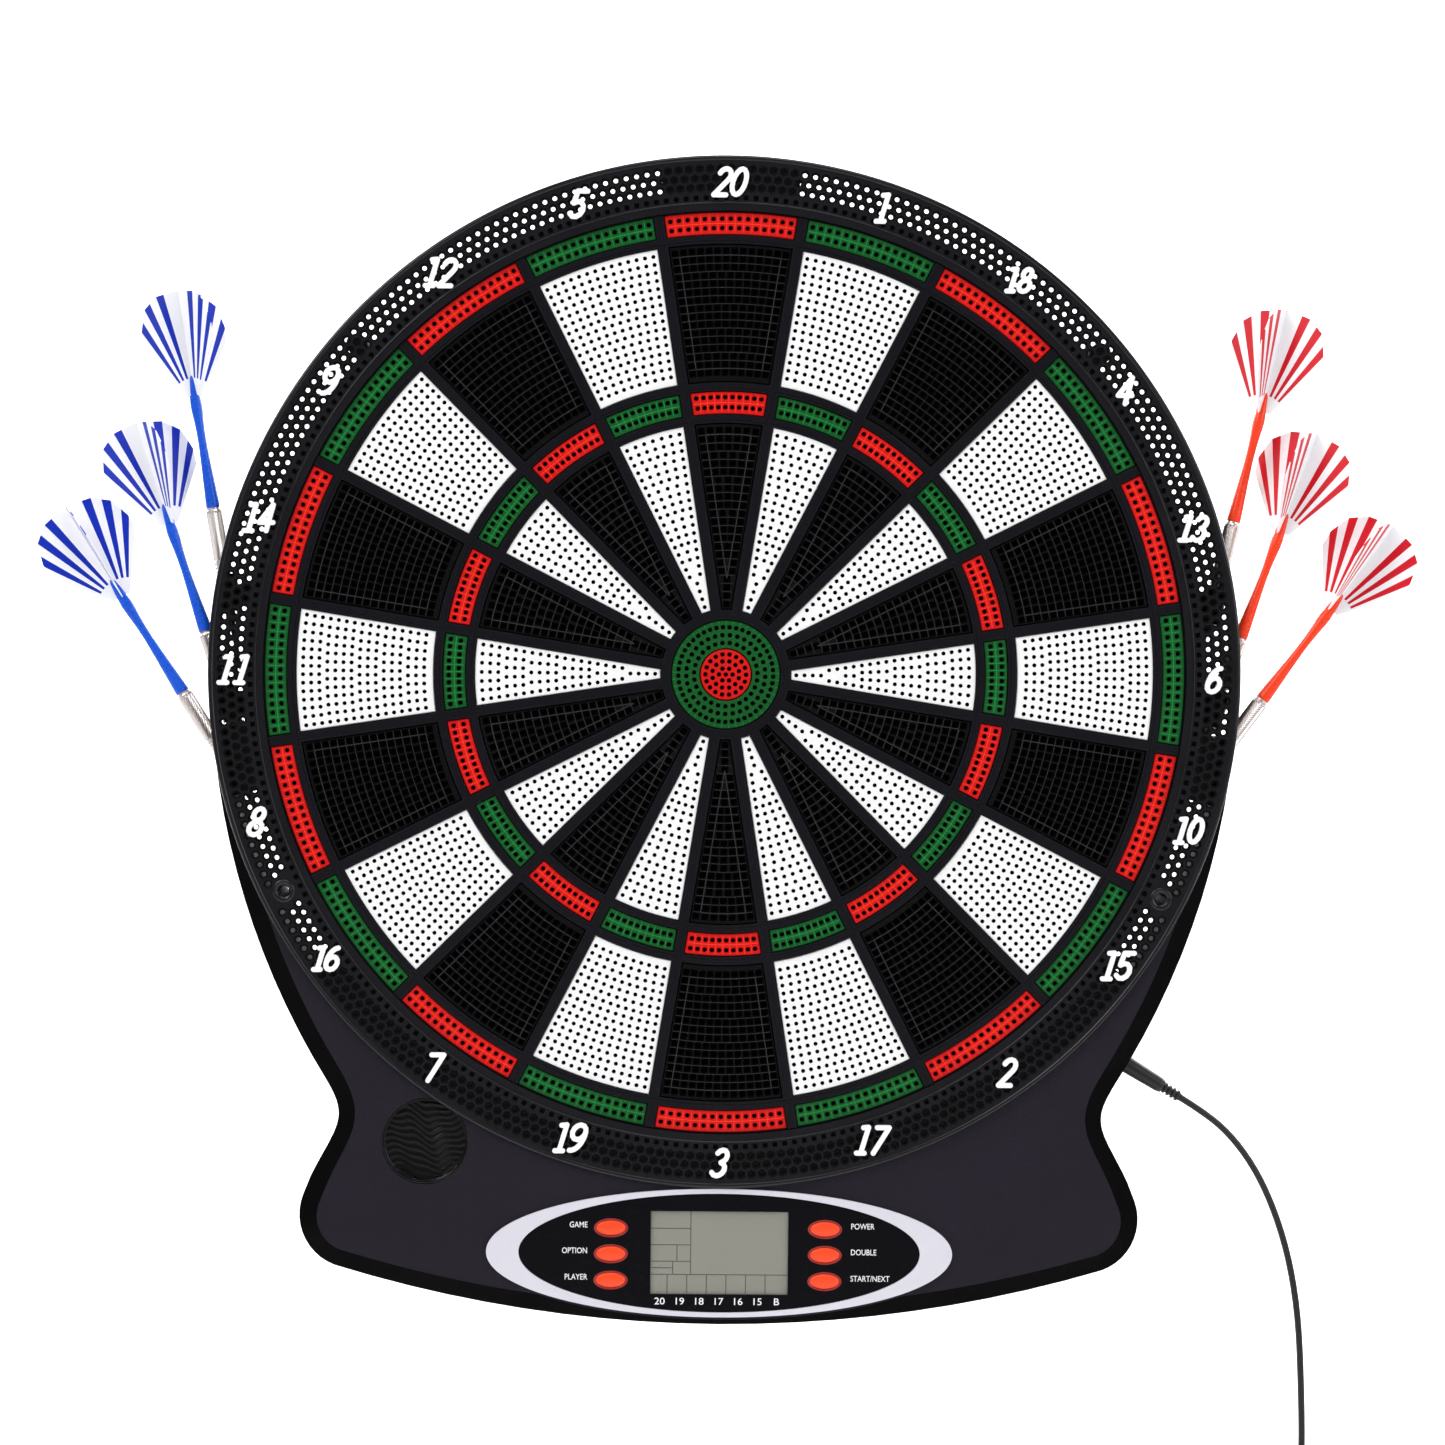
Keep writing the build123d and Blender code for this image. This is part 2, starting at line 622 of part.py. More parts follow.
def keypad_mats():
    """Two silicone mats with a raised pad behind each button."""
    mats = []
    for x in BUTTON_X:
        mat = slab(Pos(x, PANEL_Z - 0.7) * Rectangle(22, 36), 20.1, 21.0)
        for rise in BUTTON_Z:
            mat += slab(button_oval(x, PANEL_Z + rise, -1), 21.0, 21.4)
        mats.append(mat)
    return Compound(children=mats)


def main_board():
    """The circuit board, with its processor block and the socket of the matrix tail behind it."""
    board = slab(Pos(0, PANEL_Z) * Rectangle(*BOARD_SIZE), 18.4, 20.0)
    board += slab(Pos(0, PANEL_Z + 18) * Rectangle(44, 5), 15.7, 18.4)
    return board + slab(Pos(35, PANEL_Z - 4) * Rectangle(16, 16), 16.4, 18.4)


def speaker():
    """A round driver with its magnet behind it."""
    driver = slab(disc(SPEAKER_RADIUS, SPEAKER_X, SPEAKER_Z), 18.6, GRILLE[0] - 0.2)
    return driver + slab(disc(MAGNET_RADIUS, SPEAKER_X, SPEAKER_Z), 9, 18.6)


def speaker_grille():
    plate = disc(GRILLE_RADIUS, SPEAKER_X, SPEAKER_Z)
    for row in range(-2, 3):
        length = 22 - 3 * abs(row)
        plate -= Pos(SPEAKER_X, SPEAKER_Z + 6 * row) * SlotCenterToCenter(length, 1.4)
    return slab(plate, *GRILLE)


def dc_jack():
    """The socket's body inside the housing."""
    plane = jack_plane()
    return rod(plane, JACK_RADIUS, -14, -0.8) - rod(plane, JACK_BORE, -11, 1)


# ---- Adapter lead ----

def dc_plug():
    """The plug's barrel in the jack, its tapering grip and the ribbed strain relief."""
    end = PLUG_BODY + PLUG_RELIEF
    grip = [(2.7, -10), (2.7, 0), (3.7, 0), (3.7, 6), (3.3, PLUG_BODY - 2), (2.9, PLUG_BODY)]
    relief = [(1.7, PLUG_BODY)]
    for rib in range(4):
        base = PLUG_BODY + 0.6 + 2.1 * rib
        relief += [(1.7, base), (2.5, base + 0.2), (2.4, base + 1.1), (1.7, base + 1.3)]
    return lathe(jack_plane(), grip + relief + [(1.7, end)])


def lead_route():
    """The lead's corner points from the strain relief down the wall to the coil."""
    start = jack_plane(PLUG_BODY + PLUG_RELIEF).origin
    depth = -JACK_DEPTH
    return [
        (start.X, depth, start.Z),
        (212.4, depth, -189.6),
        (223.5, depth + 0.5, -199.4),
        (234.0, depth + 0.8, -213.6),
        (242.6, depth + 1.0, -231.5),
        (249.4, depth + 0.6, -253.0),
        (253.6, depth, -278.0),
        (255.2, depth - 0.4, -306.0),
        (256.3, depth, -336.0),
        (255.6, depth, COIL_CENTRE[1] + COIL_MINOR * 1.5),
    ]


def corner_radii(points):
    """Each corner's arc is as large as its two runs allow."""
    radii = []
    for before, here, after in zip(points, points[1:], points[2:]):
        first = Vector(here) - Vector(before)
        second = Vector(after) - Vector(here)
        half_turn = math.radians(first.get_angle(second)) / 2
        radii.append(0.45 * min(first.length, second.length) / math.tan(half_turn))
    return radii


def tube(points):
    """A length of the lead, bent at the corner points."""
    radii = corner_radii(points)
    path = FilletPolyline(*points, radius=radii)
    along = Vector(points[1]) - Vector(points[0])
    section = Plane(origin=points[0], z_dir=along) * Circle(LEAD_RADIUS)
    return sweep(section, path=path)


def lead_coil():
    """The outer shape of the tied turns, flat against the wall."""
    centre = Plane(origin=(COIL_CENTRE[0], -JACK_DEPTH, COIL_CENTRE[1]), x_dir=(1, 0, 0), z_dir=(0, -1, 0))
    section = Pos(COIL_MAJOR, 0) * Circle(COIL_MINOR)
    side = Plane(origin=centre.origin, x_dir=(1, 0, 0), z_dir=(0, 0, 1))
    return revolve(side * section, Axis(centre.origin, centre.z_dir))


def tail_route():
    """From the coil's lowest turn to the adapter."""
    x, z = COIL_CENTRE
    top_x, top_z = ADAPTER_TOP
    return [
        (x - 2, -JACK_DEPTH, z - COIL_MAJOR - COIL_MINOR * 0.9),
        (x - 12, -JACK_DEPTH, z - COIL_MAJOR - COIL_MINOR * 1.2),
        (top_x + 2.5, -JACK_DEPTH, top_z + 9.0),
        (top_x, -JACK_DEPTH, top_z),
    ]


def wall_adapter():
    width, thick, height = ADAPTER_SIZE
    x, z = ADAPTER_TOP
    body = Pos(x, -JACK_DEPTH, z - 8 - height / 2) * Box(width, thick, height)
    body = fillet(body.edges(), 4)
    relief = lathe(Plane(origin=(x, -JACK_DEPTH, z), x_dir=(1, 0, 0), z_dir=(0, 0, -1)),
                   [(1.8, 0), (2.6, 8), (2.6, 9)])
    blade = Box(1.5, 6.2, 17)
    blades = [Pos(x + side * 6.35, -JACK_DEPTH, z - 8 - height - 8) * blade for side in (-1, 1)]
    return body + relief + blades


def main():
    sectors()
    for make in (bull_outer, bull_inner, spider_frame, matrix_membrane, front_housing, rear_cover,
                 housing_screws, catch_ring, numerals, panel_overlay, panel_bezel, lcd_window,
                 lcd_module, keypad_mats, main_board, speaker, speaker_grille, dc_jack, dc_plug,
                 lead_coil, wall_adapter):
        save(make(), make.__name__)
    save(slab(Circle(DISC_OUTER), *MAT), "rubber_mat")
    save(slab(Circle(DISC_OUTER), *BACKING), "backing_plate")
    save(dart_holder(BLUE_DARTS, -1), "dart_holder_left")
    save(dart_holder(RED_DARTS, 1), "dart_holder_right")
    save(tube(lead_route()), "adapter_lead")
    save(tube(tail_route()), "adapter_tail")
    for name, x, z in button_places():
        save(button(x, z), f"button_{name}")
    darts()


if __name__ == "__main__":
    main()
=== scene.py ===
import json
import math

import bmesh
import bpy
from mathutils import Matrix, Vector
from mathutils.geometry import delaunay_2d_cdt


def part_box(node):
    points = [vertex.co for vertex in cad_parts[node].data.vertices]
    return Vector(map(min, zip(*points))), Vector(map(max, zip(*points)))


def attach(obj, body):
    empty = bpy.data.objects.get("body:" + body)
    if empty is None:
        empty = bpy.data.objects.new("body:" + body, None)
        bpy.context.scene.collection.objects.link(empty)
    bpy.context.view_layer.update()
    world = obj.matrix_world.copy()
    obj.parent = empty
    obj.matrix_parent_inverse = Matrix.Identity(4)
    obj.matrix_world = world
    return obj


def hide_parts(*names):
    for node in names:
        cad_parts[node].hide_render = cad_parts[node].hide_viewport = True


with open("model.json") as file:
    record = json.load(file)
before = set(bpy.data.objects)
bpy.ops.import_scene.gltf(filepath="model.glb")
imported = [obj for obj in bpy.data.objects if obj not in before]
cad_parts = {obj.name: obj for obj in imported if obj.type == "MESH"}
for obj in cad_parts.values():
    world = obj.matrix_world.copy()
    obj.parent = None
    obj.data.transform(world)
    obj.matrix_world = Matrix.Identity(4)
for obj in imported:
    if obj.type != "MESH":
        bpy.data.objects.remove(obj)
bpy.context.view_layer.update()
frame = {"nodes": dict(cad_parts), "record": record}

MM = 0.001

# The playing face, in metres. The bull is at X = 0, Z = 0, and turns are clockwise from the top.
SECTORS = (20, 1, 18, 4, 13, 6, 10, 15, 2, 17, 3, 19, 7, 16, 8, 11, 14, 9, 12, 5)
SECTOR_TURN = 2 * math.pi / len(SECTORS)
RIB_HALF = 2.45 * MM
DOUBLE = (187.5 * MM, 196.8 * MM)
OUTER_SINGLE = (125.0 * MM, 183.3 * MM)
TREBLE = (111.3 * MM, 120.8 * MM)
INNER_SINGLE = (28.0 * MM, 107.2 * MM)
BULL_RING = (11.3 * MM, 23.3 * MM)
BULL_CENTRE = 10.8 * MM
SEGMENT_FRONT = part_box("sector_20")[0][1]
SEGMENT_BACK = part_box("sector_20")[1][1]

# The catch ring.
RING_INNER = 197.5 * MM
RING_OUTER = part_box("catch_ring")[1][0]
RING_RIM = 218.3 * MM
RING_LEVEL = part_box("numerals")[1][1]
RING_BACK = -27.8 * MM
RING_HOLES = 300
RING_ROWS = (215.1 * MM, 211.1 * MM, 207.25 * MM)
POCKET_RADIUS = 202.9 * MM
SCREWS = ((-188.0 * MM, -94.5 * MM), (188.0 * MM, -94.5 * MM))
SCREW_CLEAR = 6.9 * MM      # no hole's centre is nearer to a screw's

# The control panel.
OVERLAY_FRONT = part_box("panel_overlay")[0][1]
LEFT_BUTTONS = {"button_game": "GAME", "button_option": "OPTION", "button_player": "PLAYER"}
RIGHT_BUTTONS = {"button_power": "POWER", "button_double": "DOUBLE", "button_start": "START/NEXT"}
BUTTONS = (*LEFT_BUTTONS, *RIGHT_BUTTONS)
OVAL_POINTS = 48

# Darts: shaft top and barrel top of each, in X and Z in millimetres, and the turn of its flight.
DART_DEPTH = -21.6 * MM
DART_BARREL = 45.0 * MM
FLIGHT_START = 91.0 * MM
BLUE_DARTS = (
    ((-229.7, 124.8), (-220.1, 68.9), 42.0),
    ((-241.3, 69.9), (-223.0, 16.2), 30.0),
    ((-262.7, 36.3), (-232.6, -10.2), 12.0),
)
RED_DARTS = (
    ((230.9, 122.4), (218.0, 68.0), -30.0),
    ((240.6, 70.2), (221.8, 18.0), -28.0),
    ((264.6, 36.0), (231.7, -8.5), -24.0),
)

# A vane's outline out from the shaft and along it, and the turns from its middle line where stripes change.
VANE_OUTLINE = ((2.4, 0), (20.3, 24), (21, 31), (18.3, 40), (11.5, 45.5), (0, 48))
VANE_CUTS = (0.0, 8.6, 13.2, 18.1, 22.7, 23.4, 27.6, 31.7, 32.2, 36.8)
VANE_STRIPES = ((8.6, 13.2), (18.1, 22.7), (27.6, 31.7), (31.7, 32.2))
VANE_APEX = -3.0 * MM
VANE_HALF = 0.2 * MM

# The adapter's lead: its depth and its coil, in millimetres.
CORD_DEPTH = -14.0
COIL_CENTRE = (238.0, -386.0)
COIL_RADIUS = 18.3
COIL_TURNS = 11


# ---- Camera, lights and backdrop ----

def add_camera():
    """Level with the bull and nearly square to the board, from about 1.3 m."""
    tilt, yaw, roll = (math.radians(angle) for angle in (1.796, 1.004, 0.64))
    offset = Vector((1.4, 1283.6, 20.5)) * MM
    turn = Matrix.Rotation(roll, 3, "Y") @ Matrix.Rotation(tilt, 3, "X") @ Matrix.Rotation(yaw, 3, "Z")
    back = turn.transposed()
    right, forward, up = back.col[0], back.col[1], back.col[2]
    place = Vector((0, SEGMENT_FRONT, 0)) - back @ offset
    data = bpy.data.cameras.new("camera")
    data.sensor_width = 36
    data.lens = 74.74
    camera = bpy.data.objects.new("camera", data)
    axes = Matrix((right, up, -forward)).transposed()
    camera.matrix_world = Matrix.Translation(place) @ axes.to_4x4()
    bpy.context.scene.collection.objects.link(camera)
    bpy.context.scene.camera = camera


def add_light(name, place, target, size, power, colour=(1, 1, 1)):
    data = bpy.data.lights.new(name, "AREA")
    data.size = size
    data.energy = power
    data.color = colour
    light = bpy.data.objects.new(name, data)
    aim = Vector(target) - Vector(place)
    light.location = place
    light.rotation_euler = aim.to_track_quat("-Z", "Y").to_euler()
    bpy.context.scene.collection.objects.link(light)


def add_lights():
    add_light("key", (-1.5, -1.2, 1.5), (0, 0, 0), 1.2, 30)
    add_light("fill", (1.9, -1.3, 0.5), (0, 0, -0.05), 1.4, 17)
    add_light("top", (0.1, -0.6, 1.9), (0, 0, 0), 1.0, 13)
    add_light("backdrop_left", (-2.6, 1.9, 1.4), (0.3, 3.8, -0.1), 2.0, 150)
    add_light("backdrop_right", (2.6, 1.9, 1.4), (-0.3, 3.8, -0.1), 2.0, 150)
    world = bpy.data.worlds.new("studio")
    world.use_nodes = True
    background = world.node_tree.nodes["Background"]
    background.inputs["Color"].default_value = (0.95, 0.96, 1, 1)
    background.inputs["Strength"].default_value = 0.42
    bpy.context.scene.world = world


def add_stage():
    """A pale floor that curves up into a pale wall well behind the board."""
    floor, bend, corner = -0.72, 3.0, 0.8
    profile = [(-5.0, floor), (bend, floor)]
    for step in range(1, 9):
        turn = math.radians(90 * step / 8)
        profile.append((bend + corner * math.sin(turn), floor + corner * (1 - math.cos(turn))))
    profile.append((bend + corner, 3.6))
    verts, faces = [], []
    for y, z in profile:
        verts += [(-6.0, y, z), (6.0, y, z)]
    for row in range(len(profile) - 1):
        faces.append((2 * row, 2 * row + 1, 2 * row + 3, 2 * row + 2))
    mesh = bpy.data.meshes.new("backdrop")
    mesh.from_pydata(verts, [], faces)
    for polygon in mesh.polygons:
        polygon.use_smooth = True
    stage = bpy.data.objects.new("backdrop", mesh)
    bpy.context.scene.collection.objects.link(stage)
    mesh.materials.append(finish("backdrop_paper", (0.93, 0.93, 0.93), 0.85, 0.02, 300, 0.06))


# ---- Materials ----

def noise(material, scale, detail):
    """The output of a noise texture in the piece's own space."""
    nodes, links = material.node_tree.nodes, material.node_tree.links
    place = nodes.new("ShaderNodeTexCoord")
    texture = nodes.new("ShaderNodeTexNoise")
    texture.inputs["Scale"].default_value = scale
    texture.inputs["Detail"].default_value = detail
    links.new(place.outputs["Object"], texture.inputs["Vector"])
    return texture.outputs["Fac"]


def finish(name, colour, roughness, bump, grain, vary, specular=0.5, metallic=0.0):
    """A surface with fine grain in its bump, slow changes in its colour and uneven roughness."""
    material = bpy.data.materials.new(name)
    material.use_nodes = True
    nodes, links = material.node_tree.nodes, material.node_tree.links
    shader = nodes["Principled BSDF"]
    shader.inputs["Metallic"].default_value = metallic
    shader.inputs["Specular IOR Level"].default_value = specular
    grains = noise(material, grain, 3)
    both = nodes.new("ShaderNodeMix")
    both.inputs["Factor"].default_value = 0.5
    links.new(noise(material, 35, 4), both.inputs["A"])
    links.new(grains, both.inputs["B"])
    ramp = nodes.new("ShaderNodeValToRGB")
    low, high = ramp.color_ramp.elements
    low.position, high.position = 0.3, 0.7
    low.color = (*(channel * (1 - vary) for channel in colour), 1)
    high.color = (*(min(1, channel * (1 + vary)) for channel in colour), 1)
    links.new(both.outputs["Result"], ramp.inputs["Fac"])
    links.new(ramp.outputs["Color"], shader.inputs["Base Color"])
    spread = nodes.new("ShaderNodeMapRange")
    spread.inputs["From Min"].default_value = 0.3
    spread.inputs["From Max"].default_value = 0.7
    spread.inputs["To Min"].default_value = roughness * 0.82
    spread.inputs["To Max"].default_value = min(1, roughness * 1.18)
    links.new(both.outputs["Result"], spread.inputs["Value"])
    links.new(spread.outputs["Result"], shader.inputs["Roughness"])
    relief = nodes.new("ShaderNodeBump")
    relief.inputs["Strength"].default_value = bump
    relief.inputs["Distance"].default_value = 0.2 * MM
    links.new(grains, relief.inputs["Height"])
    links.new(relief.outputs["Normal"], shader.inputs["Normal"])
    return material


def clear_plastic(name, tint, roughness):
    """Thin and clear, so nearly all light passes straight through."""
    material = finish(name, tint, roughness, 0.01, 900, 0.02)
    shader = material.node_tree.nodes["Principled BSDF"]
    shader.inputs["Alpha"].default_value = 0.08
    return material


def painted_edge_shade(material, colour, gloss):
    """The same surface with painted shade where it slopes away from the front: darker and less glossy there.
    """
    nodes, links = material.node_tree.nodes, material.node_tree.links
    shader = nodes["Principled BSDF"]
    plain = shader.inputs["Base Color"].links[0].from_socket
    shape = nodes.new("ShaderNodeNewGeometry")
    parts = nodes.new("ShaderNodeSeparateXYZ")
    links.new(shape.outputs["True Normal"], parts.inputs["Vector"])
    # The slope mask sets where the given colour, a painted shade, replaces the surface's own colour.
    slope = nodes.new("ShaderNodeMapRange")
    slope.inputs["From Min"].default_value = -0.97
    slope.inputs["From Max"].default_value = -0.92
    links.new(parts.outputs["Y"], slope.inputs["Value"])
    blend = nodes.new("ShaderNodeMixRGB")
    blend.inputs["Color2"].default_value = (*colour, 1)
    links.new(slope.outputs["Result"], blend.inputs["Fac"])
    links.new(plain, blend.inputs["Color1"])
    links.new(blend.outputs["Color"], shader.inputs["Base Color"])
    shine = nodes.new("ShaderNodeMapRange")
    shine.inputs["To Min"].default_value = shader.inputs["Specular IOR Level"].default_value
    shine.inputs["To Max"].default_value = gloss
    links.new(slope.outputs["Result"], shine.inputs["Value"])
    links.new(shine.outputs["Result"], shader.inputs["Specular IOR Level"])
    return material


# Colour, roughness, bump, the grain's scale, how much the colour varies, and then a gloss and a metallic
# value where they aren't the usual ones.
FINISHES = {
    "ring_black": ((0.006, 0.0055, 0.0075), 0.36, 0.12, 1500, 0.2, 0.15),
    "ring_rim": ((0.004, 0.004, 0.0055), 0.24, 0.04, 1200, 0.15, 0.35),
    "frame_black": ((0.0028, 0.0022, 0.0045), 0.4, 0.2, 1800, 0.2, 0.18),
    "segment_black": ((0.0013, 0.0013, 0.0013), 0.4, 0.15, 1800, 0.2, 0.12),
    "segment_white": ((0.86, 0.86, 0.85), 0.5, 0.1, 1800, 0.03),
    "segment_red": ((0.60, 0.003, 0.002), 0.42, 0.1, 1800, 0.1, 0.25),
    "segment_green": ((0.0004, 0.082, 0.011), 0.42, 0.1, 1800, 0.12, 0.25),
    # Raised ridge lines, lighter than their caps: painted highlight where the ridges catch the light.
    "ridge_highlight_black": ((0.024, 0.024, 0.026), 0.4, 0.05, 1500, 0.2, 0.3),
    "ridge_highlight_red": ((0.95, 0.030, 0.008), 0.4, 0.05, 1500, 0.05, 0.3),
    "ridge_highlight_green": ((0.004, 0.235, 0.040), 0.4, 0.05, 1500, 0.05, 0.3),
    # The walls and floors of holes: near-black painted shade for the dark inside of each hole.
    "hole_shade_black": ((0.002, 0.002, 0.002), 0.7, 0.1, 1500, 0.2, 0.1),
    "numeral_white": ((0.92, 0.92, 0.92), 0.32, 0.04, 1500, 0.02),
    "bezel_white": ((0.66, 0.65, 0.71), 0.38, 0.06, 1800, 0.03),
    "panel_navy": ((0.001, 0.001, 0.0024), 0.3, 0.05, 1600, 0.15, 0.1),
    "legend_white": ((0.9, 0.9, 0.92), 0.4, 0.03, 1600, 0.03),
    "lcd_grey": ((0.215, 0.208, 0.165), 0.4, 0.01, 600, 0.02),
    "lcd_line": ((0.02, 0.02, 0.016), 0.4, 0.02, 600, 0.05),
    "button_orange": ((0.88, 0.065, 0.012), 0.32, 0.04, 1500, 0.05, 0.35),
    "button_edge": ((0.30, 0.008, 0.005), 0.4, 0.05, 1200, 0.1),
    "silicone_grey": ((0.3, 0.3, 0.3), 0.6, 0.1, 1200, 0.08),
    "mat_rubber": ((0.012, 0.012, 0.012), 0.8, 0.3, 1200, 0.2),
    "membrane_film": ((0.5, 0.52, 0.5), 0.25, 0.03, 500, 0.05),
    "backing_board": ((0.2, 0.12, 0.06), 0.75, 0.3, 700, 0.25),
    "circuit_green": ((0.012, 0.12, 0.04), 0.35, 0.15, 700, 0.2),
    "speaker_black": ((0.015, 0.015, 0.015), 0.7, 0.3, 900, 0.2),
    "grille_black": ((0.0006, 0.0006, 0.0009), 0.3, 0.08, 1400, 0.2, 0.16),
    "grille_rim": ((0.03, 0.028, 0.034), 0.35, 0.04, 1400, 0.1),
    "jack_black": ((0.012, 0.012, 0.012), 0.5, 0.1, 1500, 0.2),
    "screw_steel": ((0.5, 0.5, 0.5), 0.35, 0.1, 1500, 0.1, 0.5, 1.0),
    "dart_blue": ((0.004, 0.085, 0.60), 0.28, 0.03, 900, 0.1, 0.35),
    "dart_red": ((0.86, 0.045, 0.008), 0.28, 0.03, 900, 0.08, 0.35),
    "barrel_nickel": ((0.66, 0.60, 0.57), 0.3, 0.15, 1500, 0.12, 0.5, 1.0),
    "tip_black": ((0.012, 0.012, 0.012), 0.45, 0.05, 900, 0.15),
    "flight_white": ((0.92, 0.92, 0.94), 0.35, 0.05, 500, 0.02),
    "stripe_blue": ((0.003, 0.025, 0.42), 0.35, 0.04, 500, 0.08, 0.25),
    "stripe_red": ((0.62, 0.003, 0.014), 0.35, 0.04, 500, 0.08, 0.25),
    "lead_black": ((0.008, 0.008, 0.009), 0.42, 0.06, 900, 0.15, 0.35),
    "adapter_black": ((0.014, 0.014, 0.015), 0.5, 0.35, 2200, 0.15),
}
MATERIALS = {name: finish(name, *values) for name, values in FINISHES.items()}
HOUSING = finish("housing_charcoal", (0.0105, 0.0075, 0.0145), 0.62, 0.5, 2600, 0.3, 0.18)
# Painted shade on the housing's chamfers: near-black and less glossy where they face away from the front.
MATERIALS["housing_charcoal"] = painted_edge_shade(HOUSING, (0.0008, 0.0006, 0.0009), 0.04)
MATERIALS["window_clear"] = clear_plastic("window_clear", (0.6, 0.6, 0.55), 0.12)


# ---- Building pieces ----

def piece_from(name, verts, faces, materials, face_slots=None, body="board", smooth=False):
    """A mesh object that rides on a body, in its first material's slot unless another is named."""
    mesh = bpy.data.meshes.new(name)
    mesh.from_pydata(verts, [], faces)
    for material in materials:
        mesh.materials.append(MATERIALS[material])
    if face_slots:
        mesh.polygons.foreach_set("material_index", face_slots)
    builder = bmesh.new()
    builder.from_mesh(mesh)
    bmesh.ops.recalc_face_normals(builder, faces=builder.faces)
    builder.to_mesh(mesh)
    builder.free()
    if smooth:
        mesh.shade_smooth()
    piece = bpy.data.objects.new(name, mesh)
    bpy.context.scene.collection.objects.link(piece)
    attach(piece, body)
    return piece


def fill_with_holes(outline, holes):
    """Triangles over the outline with its holes left out, as indices into outline then holes in turn."""
    points, loops = [], []
    for loop in (outline, *holes):
        loops.append(list(range(len(points), len(points) + len(loop))))
        points += [Vector(point) for point in loop]
    found, _, triangles, sources, _, owners = delaunay_2d_cdt(points, [], loops, 0, 1e-7)
    if len(found) != len(points):
        raise ValueError("a hole crosses another loop")
    back = [source[0] for source in sources]
    kept = [triangle for triangle, owner in zip(triangles, owners) if owner == [0]]
    return [[back[corner] for corner in triangle] for triangle in kept]


def band(first, second, count):
    """The quads between two loops of vertices, from the first vertex of each."""
    quads = []
    for step in range(count):
        after = (step + 1) % count
        quads.append((first + step, first + after, second + after, second + step))
    return quads


def fan(first, tip, count):
    """The triangles from a loop of vertices to a tip."""
    return [(first + step, first + (step + 1) % count, tip) for step in range(count)]


def polar(radius, turn):
    return radius * math.sin(turn), radius * math.cos(turn)


def side_turn(radius, inset=0.0):
    """How far a segment reaches each side of its middle line at a radius."""
    return SECTOR_TURN / 2 - math.asin((RIB_HALF + inset) / radius)


def segment_outline(inner, outer, inset=0.0, steps=14):
    """A segment's edge at the top of the board: out along one arc and back along the other."""
    low, high = inner + inset, outer - inset
    reach_high, reach_low = side_turn(high, inset), side_turn(low, inset)
    points = [polar(high, reach_high * (1 - 2 * step / steps)) for step in range(steps + 1)]
    points += [polar(low, reach_low * (2 * step / steps - 1)) for step in range(steps + 1)]
    return points


def hole_loop(centre, turn, half, corner, count=8):
    """A loop round a hole's centre. Every other corner stands out by a factor: 1 is round, 1.414 square."""
    points = []
    for step in range(count):
        around = 2 * math.pi * step / count - turn
        reach = half * (corner if step % 2 else 1.0)
        points.append((centre[0] + reach * math.cos(around), centre[1] + reach * math.sin(around)))
    return points


class Plate:
    """A cap with a bevelled edge and rows of blind holes, drawn in X and Z and standing along Y."""

    def __init__(self, front, back, hole):
        self.front, self.back, self.hole = front, back, hole
        self.verts, self.faces, self.slots = [], [], []

    def add_loop(self, points, depth):
        start = len(self.verts)
        self.verts += [(x, depth, z) for x, z in points]
        return list(range(start, start + len(points)))

    def join(self, one, other, slot=0):
        count = len(one)
        for step in range(count):
            after = (step + 1) % count
            self.faces.append((one[step], one[after], other[after], other[step]))
            self.slots.append(slot)

    def cap(self, loop, slot=0):
        self.faces.append(tuple(loop))
        self.slots.append(slot)

    def add_sheet(self, outline, holes, depth):
        """A flat face with holes left out of it. It gives the outline's loop and then each hole's."""
        loops = [self.add_loop(points, depth) for points in (outline, *holes)]
        flat = [vertex for loop in loops for vertex in loop]
        for triangle in fill_with_holes(outline, holes):
            self.faces.append(tuple(flat[corner] for corner in triangle))
            self.slots.append(0)
        return loops

    def add_wall(self, top, inner_edge, edge):
        """A bevel from a loop on the front, and a straight side. It gives the loop at the back."""
        bevel = max(abs(edge[0][1] - inner_edge[0][1]), 0.2 * MM)
        rim = self.add_loop(edge, self.front + bevel)
        foot = self.add_loop(edge, self.back)
        self.join(top, rim)
        self.join(rim, foot)
        return foot

    def build(self, edge, inner_edge, centres, bore=None, inner_bore=None):
        """Inner edges lie on the front. Each hole's centre has its turn and the room around it."""
        mouth, mouth_corner, throat, funnel, depth = self.hole
        mouths = [hole_loop((x, z), turn, min(mouth, room), mouth_corner) for x, z, turn, room in centres]
        bores = [inner_bore] if bore else []
        top, *loops = self.add_sheet(inner_edge, bores + mouths, self.front)
        foot = self.add_wall(top, inner_edge, edge)
        if bore:
            self.join(foot, self.add_wall(loops.pop(0), inner_bore, bore))
        else:
            self.cap(foot)
        for (x, z, turn, _), loop in zip(centres, loops):
            neck = self.add_loop(hole_loop((x, z), turn, throat, 1.0), self.front + funnel)
            floor = self.add_loop(hole_loop((x, z), turn, throat * 0.9, 1.0), self.front + depth)
            self.join(loop, neck)
            # Below the funnel each hole's walls and floor take slot 1, the painted shade.
            self.join(neck, floor, 1)
            self.cap(floor, 1)


def row_centres(radius, count):
    """One row of holes: the outer two keep their distance from the segment's sides."""
    from_side = 2.2 * MM
    reach = side_turn(radius) - from_side / radius
    turns = [0.0] if count == 1 else [reach * (2 * step / (count - 1) - 1) for step in range(count)]
    pitch = 2 * radius * reach / max(1, count - 1)
    room = min(1.62 * MM, pitch / 2 - 0.14 * MM) if count > 1 else 1.62 * MM
    return [(*polar(radius, turn), turn, room) for turn in turns]


def rows(first, last, counts):
    """Rows of holes from an outer radius to an inner one, with a count for each."""
    centres = []
    for index, count in enumerate(counts):
        radius = first + (last - first) * index / (len(counts) - 1)
        centres += row_centres(radius, count)
    return centres


